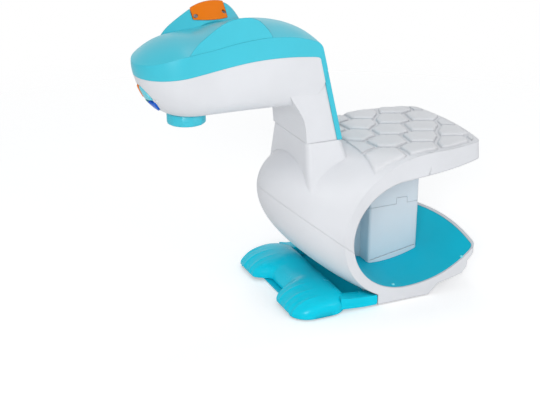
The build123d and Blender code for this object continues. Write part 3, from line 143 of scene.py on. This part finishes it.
def grey(value):
    """Colour with alpha from one level."""
    return (value, value, value, 1)


def plastic(name, colour, rough, grain=0.03, scale=GRAIN_SCALE, edge=0.0009, gloss=0.5, dust_and_shade=0.0):
    """Moulded plastic with a fine grain.

    Its colour drifts a little, its gloss has smears, its edges are soft, and painted shade darkens its colour in
    seams and creases.
    """
    material = bpy.data.materials.new(name)
    tree, shader = shader_of(material)
    cloud = noise(tree, CLOUD_SCALE, CLOUD_DETAIL)
    dark = tuple(c * (1 - CLOUD_DRIFT) for c in colour) + (1,)
    light = tuple(min(1, c * (1 + CLOUD_DRIFT)) for c in colour) + (1,)
    tint = ramp(tree, cloud.outputs["Fac"], CLOUD_ENDS, dark, light)
    skin_colour = tint.outputs["Color"]
    # Painted shade: ambient occlusion darkens the colour in seams and creases, by up to the given share
    if dust_and_shade:
        seam = tree.nodes.new("ShaderNodeAmbientOcclusion")
        seam.samples = RAY_SAMPLES
        seam.inputs["Distance"].default_value = SEAM_REACH
        shade = ramp(tree, seam.outputs["AO"], SEAM_ENDS, grey(1 - dust_and_shade), grey(1))
        darken = tree.nodes.new("ShaderNodeMixRGB")
        darken.blend_type = "MULTIPLY"
        darken.inputs["Fac"].default_value = 1.0
        tree.links.new(skin_colour, darken.inputs["Color1"])
        tree.links.new(shade.outputs["Color"], darken.inputs["Color2"])
        skin_colour = darken.outputs["Color"]
    tree.links.new(skin_colour, shader.inputs["Base Color"])
    smear = noise(tree, SMEAR_SCALE, SMEAR_DETAIL, SMEAR_ROUGH)
    glossy = grey(rough - SMEAR_LESS)
    dull = grey(rough + SMEAR_MORE)
    polish = ramp(tree, smear.outputs["Fac"], SMEAR_ENDS, glossy, dull)
    tree.links.new(polish.outputs["Color"], shader.inputs["Roughness"])
    skin = noise(tree, scale, GRAIN_DETAIL)
    bump = tree.nodes.new("ShaderNodeBump")
    bump.inputs["Strength"].default_value = grain
    bump.inputs["Distance"].default_value = GRAIN_DEEP
    tree.links.new(skin.outputs["Fac"], bump.inputs["Height"])
    if edge:
        soft = tree.nodes.new("ShaderNodeBevel")
        soft.samples = RAY_SAMPLES
        soft.inputs["Radius"].default_value = edge
        tree.links.new(soft.outputs["Normal"], bump.inputs["Normal"])
    tree.links.new(bump.outputs["Normal"], shader.inputs["Normal"])
    shader.inputs["Specular IOR Level"].default_value = gloss
    return material


def metal(name, colour, rough):
    """Metal with uneven wear."""
    material = bpy.data.materials.new(name)
    tree, shader = shader_of(material)
    shader.inputs["Metallic"].default_value = 1.0
    cloud = noise(tree, METAL_SCALE, METAL_DETAIL, METAL_ROUGH)
    worn = tuple(c * METAL_WORN for c in colour) + (1,)
    tint = ramp(tree, cloud.outputs["Fac"], METAL_ENDS, worn, tuple(colour) + (1,))
    tree.links.new(tint.outputs["Color"], shader.inputs["Base Color"])
    dull = grey(rough + METAL_SPREAD)
    polish = ramp(tree, cloud.outputs["Fac"], METAL_ENDS, grey(rough), dull)
    tree.links.new(polish.outputs["Color"], shader.inputs["Roughness"])
    return material


def glass(name, colour):
    """Clear lens with a trace of dust."""
    material = bpy.data.materials.new(name)
    tree, shader = shader_of(material)
    shader.inputs["Base Color"].default_value = tuple(colour) + (1,)
    shader.inputs["Transmission Weight"].default_value = 1.0
    shader.inputs["IOR"].default_value = GLASS_IOR
    dust_and_shade = noise(tree, GLASS_SCALE, GLASS_DETAIL)
    polish = ramp(tree, dust_and_shade.outputs["Fac"], GLASS_ENDS, grey(GLASS_CLEAN), grey(GLASS_DUSTY))
    tree.links.new(polish.outputs["Color"], shader.inputs["Roughness"])
    return material


WHITE = (0.735, 0.745, 0.775)
PAD_WHITE = (0.745, 0.750, 0.775)
PANEL = (0.690, 0.735, 0.785)
TURQUOISE = (0.045, 0.550, 0.690)
TRAY_TURQUOISE = (0.0, 0.550, 0.735)
CLAMP_TURQUOISE = (0.0, 0.620, 0.810)
LIGHT_TURQUOISE = (0.130, 0.620, 0.740)
NUB_TURQUOISE = (0.20, 0.78, 0.86)
ORANGE = (0.860, 0.195, 0.0)
TEAL = (0.0, 0.200, 0.280)
BLUE = (0.0, 0.110, 0.640)
BLACK = (0.018, 0.018, 0.020)
RUBBER = (0.020, 0.020, 0.020)
SILICONE = (0.42, 0.42, 0.44)
STEEL = (0.26, 0.26, 0.28)
CONTACT = (0.60, 0.57, 0.50)
SLEEVE = (0.030, 0.030, 0.034)
ALUMINIUM = (0.55, 0.56, 0.58)
BOARD = (0.010, 0.120, 0.040)
LENS_TINT = (0.92, 0.96, 0.98)
DARK_PANEL = (0.015, 0.018, 0.025)
LAMP_YELLOW = (0.85, 0.74, 0.30)
KEY_EDGE = 0.0005
FINE_EDGE = 0.0004
# White, turquoise and orange plastics get painted shade: darker colour in their seams and creases
looks = {
    "white_plastic": plastic("white_plastic", WHITE, 0.42, 0.035, gloss=0.4, dust_and_shade=0.3),
    "turquoise": plastic("turquoise_plastic", TURQUOISE, 0.32, gloss=0.45, dust_and_shade=0.45),
    "turquoise_dark": plastic("turquoise_dark_plastic", TRAY_TURQUOISE, 0.45, gloss=0.12),
    "panel_plastic": plastic("panel_plastic", PANEL, 0.42, 0.05),
    "orange_plastic": plastic("orange_plastic", ORANGE, 0.34, gloss=0.2, dust_and_shade=0.5),
    "light_turquoise": plastic("light_turquoise_plastic", LIGHT_TURQUOISE, 0.28, edge=KEY_EDGE),
    "teal_plastic": plastic("teal_plastic", TEAL, 0.30, edge=KEY_EDGE, gloss=0.2),
    "blue_plastic": plastic("blue_plastic", BLUE, 0.30, edge=KEY_EDGE, gloss=0.15),
    "black_plastic": plastic("black_plastic", BLACK, 0.42, 0.06, edge=FINE_EDGE),
    "foot_rubber": plastic("foot_rubber", RUBBER, 0.75, 0.2, 900.0, edge=0.0003),
    "pad_silicone": plastic("pad_silicone", SILICONE, 0.55, 0.1, edge=0.0),
    "screw_steel": metal("screw_steel", STEEL, 0.35),
    "contact_metal": metal("contact_metal", CONTACT, 0.25),
    "cell_sleeve": plastic("cell_sleeve", SLEEVE, 0.22, 0.01, edge=FINE_EDGE),
    "sink_metal": metal("sink_metal", ALUMINIUM, 0.4),
    "board_green": plastic("board_green", BOARD, 0.35, 0.05, 1200.0, edge=0.0),
    "lens_glass": glass("lens_glass", LENS_TINT),
    "panel_glass": plastic("panel_glass", DARK_PANEL, 0.08, 0.0, edge=0.0),
    "lamp_lens": plastic("lamp_lens", LAMP_YELLOW, 0.15, 0.0, edge=0.0),
}
body_look = plastic("body_plastic", WHITE, 0.42, 0.035, edge=0.0022, gloss=0.4)
# The clamp's plastic gets painted shade in its seams and creases too
clamp_look = plastic("clamp_plastic", CLAMP_TURQUOISE, 0.24, 0.012, edge=0.0, gloss=0.18, dust_and_shade=0.35)
pad_look = plastic("pad_plastic", PAD_WHITE, 0.42, 0.035, edge=0.0, gloss=0.4)
nub_look = plastic("nub_plastic", NUB_TURQUOISE, 0.25, edge=0.0)
slots = {entry["node"]: entry["material_slot"] for entry in frame["record"]["subparts"]}
for name, slot in slots.items():
    materials = frame["nodes"][name].data.materials
    materials.clear()
    materials.append(looks[slot])
frame["nodes"]["body_shell"].data.materials[0] = body_look


# Pieces
def add(name, mesh, look, body):
    """Put a mesh into the scene as a piece that rides on a body."""
    mesh.materials.clear()
    mesh.materials.append(look)
    obj = bpy.data.objects.new(name, mesh)
    scene.collection.objects.link(obj)
    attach(obj, body)
    return obj


def piece(name, verts, faces, look, body):
    """Smooth piece from points in millimetres."""
    mesh = bpy.data.meshes.new(name)
    mesh.from_pydata([tuple(c * MM for c in v) for v in verts], [], faces)
    mesh.update()
    mesh.shade_smooth()
    return add(name, mesh, look, body)


def ease(t):
    """0 to 1 with soft ends."""
    t = min(1, max(0, t))
    return t * t * (3 - 2 * t)


def along(points, t):
    """Point of a smooth curve through the points, t from 0 to 1."""
    last = len(points) - 1
    i = min(int(t * last), last - 1)
    u = t * last - i
    p1 = Vector(points[i])
    p2 = Vector(points[i + 1])
    p0 = Vector(points[i - 1]) if i else 2 * p1 - p2
    p3 = Vector(points[i + 2]) if i + 2 <= last else 2 * p2 - p1
    bend = (2 * p0 - 5 * p1 + 4 * p2 - p3) * u * u + (3 * (p1 - p2) + p3 - p0) * u * u * u
    return 0.5 * (2 * p1 + (p2 - p0) * u + bend)


# Paper clamp: a grip with two lobes, ribbed at the front, and two arms back to the pins
GRIP_HALF = 75.2
GRIP_FRONT = -42.5
GRIP_BACK = 15.0
GRIP_R = 20.0
GRIP_HIGH = 19.4
GRIP_WALL = 2.2
END_POWER = 5.0
FOOT_END = 1.3
FOOT_BED = 3.3
FOOT_STEP = 3
BED_END = 57.0
WAIST = 34.0
WAIST_DIP = 2.6
NOTCH_DEEP = 15.5
NOTCH_FULL = 14.0
NOTCH_OUT = 30.0
RIB_AT = (36.5, 50.0, 63.5)
RIB_HIGH = 1.3
RIB_SOFT = 1.6
RIB_START = 0.15
RIB_FADE = 0.62
RIB_RISE = 10
RIB_TURN = 3
RIB_OUT = 0.9
# Shares of the depth and of the height, from the front foot over the crown to the back foot
GRIP_PROFILE = (
    (0, 0), (0.0, 0.20), (0.03, 0.40), (0.11, 0.62), (0.22, 0.79), (0.36, 0.91), (0.52, 0.985),
    (0.66, 1.0), (0.80, 0.95), (0.92, 0.82), (0.985, 0.62), (1.0, 0.40), (1.0, 0.18), (1, 0),
)
GRIP_STEPS = 56
GRIP_ROWS = 150
ROW_BUNCH = 0.35


def grip_point(x, t):
    """Point of the grip's skin at x, t from the front foot to the back foot."""
    side = abs(x)
    into = max(0, side - GRIP_HALF + GRIP_R)
    corner = GRIP_R - sqrt(max(0, GRIP_R * GRIP_R - into * into))
    notch = NOTCH_DEEP * ease((NOTCH_OUT - side) / (NOTCH_OUT - NOTCH_FULL))
    front = GRIP_FRONT + corner + notch
    back = GRIP_BACK - corner
    foot = FOOT_END + (FOOT_BED - FOOT_END) * ease((BED_END + FOOT_STEP - side) / FOOT_STEP)
    end = (1 - (side / GRIP_HALF) ** END_POWER) ** (1 / END_POWER) if side < GRIP_HALF else 0
    high = (GRIP_HIGH - WAIST_DIP * (1 - ease(side / WAIST))) * end
    share, rise = along(GRIP_PROFILE, t)
    rib = RIB_HIGH * sum(exp(-(((side - at) / RIB_SOFT) ** 2)) for at in RIB_AT)
    rib *= (1 - ease((share - RIB_START) / (RIB_FADE - RIB_START))) * ease(rise * RIB_RISE)
    # The ribs stand forward at the front and upward further back
    upright = ease(share * RIB_TURN)
    y = front + (back - front) * share - rib * (1 - upright) * RIB_OUT
    return (x, y, foot + (high - foot + FOOT_END) * rise + rib * upright)


verts = []
faces = []
for row in range(GRIP_ROWS + 1):
    # Rows stand closer together at the ends
    across = 2 * row / GRIP_ROWS - 1
    x = GRIP_HALF * sin(pi / 2 * across) * ROW_BUNCH + GRIP_HALF * across * (1 - ROW_BUNCH)
    for step in range(GRIP_STEPS + 1):
        verts.append(grip_point(x, step / GRIP_STEPS))
for row in range(GRIP_ROWS):
    for step in range(GRIP_STEPS):
        a = row * (GRIP_STEPS + 1) + step
        faces.append((a, a + GRIP_STEPS + 1, a + GRIP_STEPS + 2, a + 1))
grip = piece("clamp_grip", verts, faces, clamp_look, "paper_clamp")
shell = grip.modifiers.new("shell", "SOLIDIFY")
shell.thickness = GRIP_WALL * MM
shell.offset = -1
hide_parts("paper_clamp")

# Arms of the clamp, with the pins in them, and cheeks that hide the pins' outer ends.
# Outlines are in depth and height
PIVOT = (38.0, 6.2)
PIN_HOLE_R = 1.7
ARM_IN = 57.9
ARM_SPLIT = 70.75
ARM_OUT = 72.2
ARM_SIDE = (
    (6, 3.6), (6, 15.5), (14, 13.6), (27, 12.4), (44.2, 11.6),
    (45.2, 10.6), (45.2, 2.6), (43.6, 1.4), (30, 1.6),
)
WING_SIDE = ((-8, 0.85), (-8, 2.6), (34, 2.6), (34, 0.85))
WING_IN = 51.3
WING_OUT = 57.2
PLATE_SOFT = 0.4
PLATE_SOFT_STEPS = 3
HOLE_STEPS = 24
SIDES = ((1, "near"), (-1, "far"))


def plate(name, outline, hole, low, high, look, slot, body):
    """Flat piece across the width from low to high, with a round hole if one is given."""
    curve = bpy.data.curves.new(name, "CURVE")
    curve.dimensions = "2D"
    curve.fill_mode = "BOTH"
    curve.extrude = ((high - low) / 2 - PLATE_SOFT) * MM
    curve.bevel_depth = PLATE_SOFT * MM
    curve.offset = -PLATE_SOFT * MM
    curve.bevel_resolution = PLATE_SOFT_STEPS
    loops = [outline]
    if hole:
        (y, z), r = hole
        turns = [2 * pi * k / HOLE_STEPS for k in range(HOLE_STEPS)]
        loops.append([(y + r * cos(turn), z - r * sin(turn)) for turn in turns])
    for loop in loops:
        spline = curve.splines.new("POLY")
        spline.points.add(len(loop) - 1)
        spline.use_cyclic_u = True
        for point, (y, z) in zip(spline.points, loop):
            point.co = (y * MM, z * MM, 0, 1)
    flat = bpy.data.objects.new(name, curve)
    mesh = bpy.data.meshes.new_from_object(flat)
    bpy.data.objects.remove(flat)
    middle = (low + high) / 2 * MM
    mesh.transform(Matrix(((0, 0, 1, middle), (1, 0, 0, 0), (0, 1, 0, 0), (0, 0, 0, 1))))
    mesh.name = name
    return add(name, mesh, look, body)


arm_hole = (PIVOT, PIN_HOLE_R)
clamp_side = (clamp_look, "turquoise", "paper_clamp")
for side, word in SIDES:
    inner = sorted((side * ARM_IN, side * ARM_SPLIT))
    outer = sorted((side * ARM_SPLIT, side * ARM_OUT))
    plate("clamp_arm_" + word, ARM_SIDE, arm_hole, *inner, *clamp_side)
    plate("clamp_cheek_" + word, ARM_SIDE, None, *outer, *clamp_side)

# The bed reaches out to the arms
bed_side = (looks["turquoise_dark"], "turquoise_dark", "body")
for side, word in SIDES:
    ends = sorted((side * WING_IN, side * WING_OUT))
    plate("bed_wing_" + word, WING_SIDE, None, *ends, *bed_side)


# Crowned caps of the four buttons on the nose
KEY_R = 14.9
KEY_GAP = 1.7
KEY_RISE = 1.2
KEY_CROWN = 2.4
KEY_SINK = -1.5
KEY_SOFT = 0.7
KEY_BUNCH = 1.6
KEY_ANGLES = 28
KEY_RINGS = 14
PANEL_AT = Vector((0, -153.4, 214.0))
UNDER_BUTTONS = ("button_pad", "button_board")
buttons = [n for n in frame["nodes"] if n.startswith("button_") and n not in UNDER_BUTTONS]
press = next(j for j in frame["joints"] if j["child"] == buttons[0])
inward = Vector(press["axis"]).normalized()
upward = Vector((1, 0, 0)).cross(inward)


def key_cap(node):
    """Quarter-round button with a crowned face, in place of the node."""
    low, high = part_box(node)
    middle = (low + high) / 2 / MM - PANEL_AT
    side = 1 if middle.x > 0 else -1
    level = 1 if middle.z > 0 else -1
    corner = Vector((KEY_GAP, KEY_GAP))
    verts = []
    faces = []
    for k in range(KEY_ANGLES + 1):
        angle = pi / 2 * k / KEY_ANGLES
        away = Vector((cos(angle), sin(angle)))
        half = corner.dot(away)
        reach = sqrt(half * half + KEY_R * KEY_R - corner.length_squared) - half
        for i in range(KEY_RINGS + 1):
            share = 1 - (1 - i / KEY_RINGS) ** KEY_BUNCH
            spot = corner + away * reach * share
            rim = min(reach * (1 - share), spot.x - KEY_GAP, spot.y - KEY_GAP)
            fall = max(0, KEY_SOFT - rim)
            height = KEY_RISE + KEY_CROWN * (1 - spot.length_squared / KEY_R**2)
            height -= KEY_SOFT - sqrt(max(0, KEY_SOFT**2 - fall**2))
            verts.append((spot, height))
    top = len(verts)
    verts += [(spot, KEY_SINK) for spot, height in verts]
    width = KEY_RINGS + 1
    for k in range(KEY_ANGLES):
        for i in range(KEY_RINGS):
            a = k * width + i
            face = (a, a + 1, a + width + 1, a + width)
            if i == 0:
                face = (a, a + 1, a + width + 1)
            faces.append(face)
            faces.append(tuple(top + c for c in reversed(face)))
    # Straight sides and the round side
    border = list(range(width))
    border += [k * width + KEY_RINGS for k in range(1, KEY_ANGLES + 1)]
    border += [KEY_ANGLES * width + i for i in range(KEY_RINGS - 1, 0, -1)]
    for a, b in zip(border, border[1:] + border[:1]):
        faces.append((b, a, top + a, top + b))
    points = []
    for spot, height in verts:
        across = Vector((side * spot.x, 0, 0))
        points.append(PANEL_AT + across + upward * level * spot.y - inward * height)
    if side * level < 0:
        faces = [tuple(reversed(face)) for face in faces]
    cap = piece(node + "_cap", points, faces, looks[slots[node]], node)
    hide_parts(node)


for node in buttons:
    key_cap(node)


def lathe(name, profile, centre, steps, look, slot, body, swell=None):
    """Closed turned piece about a vertical line.

    The profile has radii, heights and whether swell scales that radius by its angle.
    """
    cx, cy, cz = centre
    verts = []
    faces = []
    count = len(profile)
    for k in range(steps):
        angle = 2 * pi * k / steps
        grow = swell(angle) if swell else 1
        for r, z, swells in profile:
            wide = r * grow if swells else r
            verts.append((cx + wide * cos(angle), cy + wide * sin(angle), cz + z))
    for k in range(steps):
        for i in range(count):
            a = k * count + i
            b = k * count + (i + 1) % count
            c = (k + 1) % steps * count
            faces.append((a, c + i, c + (i + 1) % count, b))
    return piece(name, verts, faces, look, body)


# Focus ring with broad soft flats
RING_FLATS = 12
RING_FLAT = 0.5
RING_R = 17.9
RING_ROUND = 2.2
RING_ROUND_IN = 0.45
RING_ROUND_UP = 0.9
RING_ROUND_STEPS = 4
RING_CHAMFER = 0.5
RING_LIP = 16.72
RING_BORE = 15.62
RING_LIP_HIGH = 1.95
RING_STEPS = 144
ring_low, ring_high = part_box("focus_ring")
ring_height = (ring_high.z - ring_low.z) / MM
ring_x = (ring_low.x + ring_high.x) / 2 / MM
ring_y = (ring_low.y + ring_high.y) / 2 / MM
ring_at = (ring_x, ring_y, ring_low.z / MM)


def flats(angle):
    """Share of the radius at an angle, for a circle with broad flats pressed into it."""
    step = 2 * pi / RING_FLATS
    turn = (angle % step) - step / 2
    return 1 - RING_FLAT * (1 - 1 / cos(turn) + (1 / cos(step / 2) - 1))


ring_profile = [
    (RING_BORE, ring_height, False),
    (RING_BORE, RING_LIP_HIGH, False),
    (RING_LIP, RING_LIP_HIGH, False),
    (RING_LIP, 0, False),
]
for k in range(RING_ROUND_STEPS + 1):
    bend = pi / 2 * k / RING_ROUND_STEPS
    r = RING_R - RING_ROUND * RING_ROUND_IN * (1 - sin(bend))
    ring_profile.append((r, RING_ROUND * (1 - cos(bend)) * RING_ROUND_UP, True))
ring_profile.append((RING_R, ring_height - RING_CHAMFER, True))
ring_profile.append((RING_R - RING_CHAMFER, ring_height, True))
ring_side = (looks["turquoise"], "turquoise", "focus_ring")
ring = lathe("focus_ring_grip", ring_profile, ring_at, RING_STEPS, *ring_side, flats)
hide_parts("focus_ring")

# Raised faces with sloped flanks on the pads of the shelf
PAD_PITCH = 29.0
PAD_LONG = 38.0
PAD_FRONT_Y = 39.0
PAD_SHIFT = 0.4
PAD_STAGGER = 0.5
PAD_COLUMNS = 2
PAD_ROWS = range(-1, 4)
PAD_TURNS = 72
PAD_LEAST = 4
PAD_REACH = 32.0
PAD_STEP = 0.5
PAD_DROP = 0.8
PAD_SKY = 180.0
PAD_LOWEST = 120.0
PAD_BULGE = 0.1
# How far inside the pad's border each ring of points lies, and how high above the solid's surface
PAD_RINGS = ((0.2, -0.4), (0.2, 0.0), (1.3, 0.75), (2.3, 1.2), (3.0, 1.3))
PAD_INNER = (0.75, 0.5, 0.25)


def top_at(x, y):
    """Height of the upper body's surface under a point, or None."""
    above = Vector((x, y, PAD_SKY)) * MM
    hit, point = frame["nodes"]["body_shell"].ray_cast(above, Vector((0, 0, -1)))[:2]
    return point.z / MM if hit else None


def pad_reach(x, y, angle):
    """How far a pad's face goes from its middle before it drops or meets a wall."""
    height = top_at(x, y)
    for k in range(1, int(PAD_REACH / PAD_STEP)):
        away = k * PAD_STEP
        here = top_at(x + away * cos(angle), y + away * sin(angle))
        if here is None or abs(here - height) > PAD_DROP:
            return away - PAD_STEP
        height = here
    return PAD_REACH


verts = []
faces = []
pad_angles = [2 * pi * k / PAD_TURNS for k in range(PAD_TURNS)]
for column in range(-PAD_COLUMNS, PAD_COLUMNS + 1):
    for row in PAD_ROWS:
        x = column * PAD_PITCH
        y = PAD_FRONT_Y + PAD_LONG * (row + PAD_STAGGER * (column % 2) + PAD_SHIFT)
        middle = top_at(x, y)
        if middle is None or middle < PAD_LOWEST:
            continue
        reaches = [pad_reach(x, y, angle) for angle in pad_angles]
        if min(reaches) < PAD_LEAST or max(reaches) >= PAD_REACH:
            continue
        base = len(verts)
        rings = [([reach - inset for reach in reaches], rise) for inset, rise in PAD_RINGS]
        inner, crown = rings[-1]
        crown += PAD_BULGE
        rings += [([reach * share for reach in inner], crown) for share in PAD_INNER]
        for radii, rise in rings:
            for angle, radius in zip(pad_angles, radii):
                px = x + radius * cos(angle)
                py = y + radius * sin(angle)
                verts.append((px, py, top_at(px, py) + rise))
        verts.append((x, y, middle + crown))
        verts.append((x, y, middle + PAD_RINGS[0][1]))
        last = base + (len(rings) - 1) * PAD_TURNS
        for a in range(base, last, PAD_TURNS):
            for k in range(PAD_TURNS):
                b = (k + 1) % PAD_TURNS
                faces.append((a + k, a + b, a + PAD_TURNS + b, a + PAD_TURNS + k))
        for k in range(PAD_TURNS):
            b = (k + 1) % PAD_TURNS
            faces.append((last + k, last + b, last + PAD_TURNS))
            faces.append((base + b, base + k, last + PAD_TURNS + 1))
piece("shelf_pads", verts, faces, pad_look, "body")

# Small nubs on the tray's near edge, at their pixels in the photograph
NUB_PIXELS = ((393.0, 284.5), (461.5, 256.5))
NUB_PROFILE = ((0.01, 1.3), (0.8, 1.2), (1.4, 0.8), (1.75, 0.2), (1.8, -0.3), (0.01, -0.3))
NUB_STEPS = 24
nub_profile = [(r, z, False) for r, z in NUB_PROFILE]
for number, pixel in enumerate(NUB_PIXELS, 1):
    point = spot_on("tray_liner", pixel)
    if point:
        at = tuple(c / MM for c in point)
        name = f"tray_nub_{number}"
        lathe(name, nub_profile, at, NUB_STEPS, nub_look, "light_turquoise", "body")

# Floor, which fades into the white ground away from the object
FLOOR_HALF = 6.0
FLOOR_Z = -0.0002
FLOOR_GREY = 0.93
FLOOR_ROUGH = 0.9
FLOOR_FADE = (0.40, 1.00)
FLOOR_LIFT = 0.30
FLOOR_CORNERS = ((-1, -1), (1, -1), (1, 1), (-1, 1))
floor_mesh = bpy.data.meshes.new("floor")
corners = [(x * FLOOR_HALF, y * FLOOR_HALF, 0) for x, y in FLOOR_CORNERS]
floor_mesh.from_pydata(corners, [], [(0, 1, 2, 3)])
floor = bpy.data.objects.new("floor", floor_mesh)
floor.location.z = FLOOR_Z
scene.collection.objects.link(floor)
floor_look = bpy.data.materials.new("floor")
tree, shader = shader_of(floor_look)
shader.inputs["Base Color"].default_value = grey(FLOOR_GREY)
shader.inputs["Roughness"].default_value = FLOOR_ROUGH
shader.inputs["Specular IOR Level"].default_value = 0.0
shader.inputs["Emission Color"].default_value = grey(1)
seen = tree.nodes.new("ShaderNodeLightPath")
lift = tree.nodes.new("ShaderNodeMath")
lift.operation = "MULTIPLY"
lift.inputs[1].default_value = FLOOR_LIFT
tree.links.new(seen.outputs["Is Camera Ray"], lift.inputs[0])
tree.links.new(lift.outputs["Value"], shader.inputs["Emission Strength"])
place = tree.nodes.new("ShaderNodeTexCoord")
reach = tree.nodes.new("ShaderNodeVectorMath")
reach.operation = "LENGTH"
tree.links.new(place.outputs["Object"], reach.inputs[0])
fade = tree.nodes.new("ShaderNodeMapRange")
fade.interpolation_type = "SMOOTHSTEP"
fade.inputs["From Min"].default_value = FLOOR_FADE[0]
fade.inputs["From Max"].default_value = FLOOR_FADE[1]
tree.links.new(reach.outputs["Value"], fade.inputs["Value"])
clear = tree.nodes.new("ShaderNodeBsdfTransparent")
both = tree.nodes.new("ShaderNodeMixShader")
only_seen = tree.nodes.new("ShaderNodeMath")
only_seen.operation = "MULTIPLY"
tree.links.new(fade.outputs["Result"], only_seen.inputs[0])
tree.links.new(seen.outputs["Is Camera Ray"], only_seen.inputs[1])
tree.links.new(only_seen.outputs["Value"], both.inputs["Fac"])
tree.links.new(shader.outputs["BSDF"], both.inputs[1])
tree.links.new(clear.outputs["BSDF"], both.inputs[2])
out = next(n for n in tree.nodes if n.type == "OUTPUT_MATERIAL")
tree.links.new(both.outputs["Shader"], out.inputs["Surface"])
floor_mesh.materials.append(floor_look)

# Round soft lights: name, place, aim, size in metres and power in watts
LAMPS = (
    ("key", (1.6, -1.0, 0.85), (0, 0, 0.12), 0.7, 13.5),
    ("fill", (1.4, 1.0, 0.5), (0, 0, 0.12), 1.2, 4.5),
    ("top", (-0.6, 0.3, 1.8), (0, 0, 0.1), 0.8, 3.5),
)
for name, place, aim, size, power in LAMPS:
    data = bpy.data.lights.new(name, "AREA")
    data.shape = "DISK"
    data.size = size
    data.energy = power
    lamp = bpy.data.objects.new(name, data)
    lamp.location = place
    lamp.rotation_euler = (Vector(aim) - Vector(place)).to_track_quat("-Z", "Y").to_euler()
    scene.collection.objects.link(lamp)

# World: white where it is seen, mirrored or seen through glass, dimmer as a light
WORLD_LEVEL = 0.58
WORLD_TINT = (0.97, 0.985, 1.0, 1)
world = bpy.data.worlds.new("world")
scene.world = world
world.use_nodes = True
sky = world.node_tree
sky.nodes.clear()
sky_out = sky.nodes.new("ShaderNodeOutputWorld")
choose = sky.nodes.new("ShaderNodeMixShader")
light = sky.nodes.new("ShaderNodeBackground")
shown = sky.nodes.new("ShaderNodeBackground")
path = sky.nodes.new("ShaderNodeLightPath")
light.inputs["Color"].default_value = WORLD_TINT
light.inputs["Strength"].default_value = WORLD_LEVEL
shown.inputs["Color"].default_value = grey(1)
shown.inputs["Strength"].default_value = 1.0
any_ray = path.outputs["Is Camera Ray"]
for ray in ("Is Glossy Ray", "Is Transmission Ray"):
    more = sky.nodes.new("ShaderNodeMath")
    more.operation = "MAXIMUM"
    sky.links.new(any_ray, more.inputs[0])
    sky.links.new(path.outputs[ray], more.inputs[1])
    any_ray = more.outputs["Value"]
sky.links.new(any_ray, choose.inputs["Fac"])
sky.links.new(light.outputs["Background"], choose.inputs[1])
sky.links.new(shown.outputs["Background"], choose.inputs[2])
sky.links.new(choose.outputs["Shader"], sky_out.inputs["Surface"])
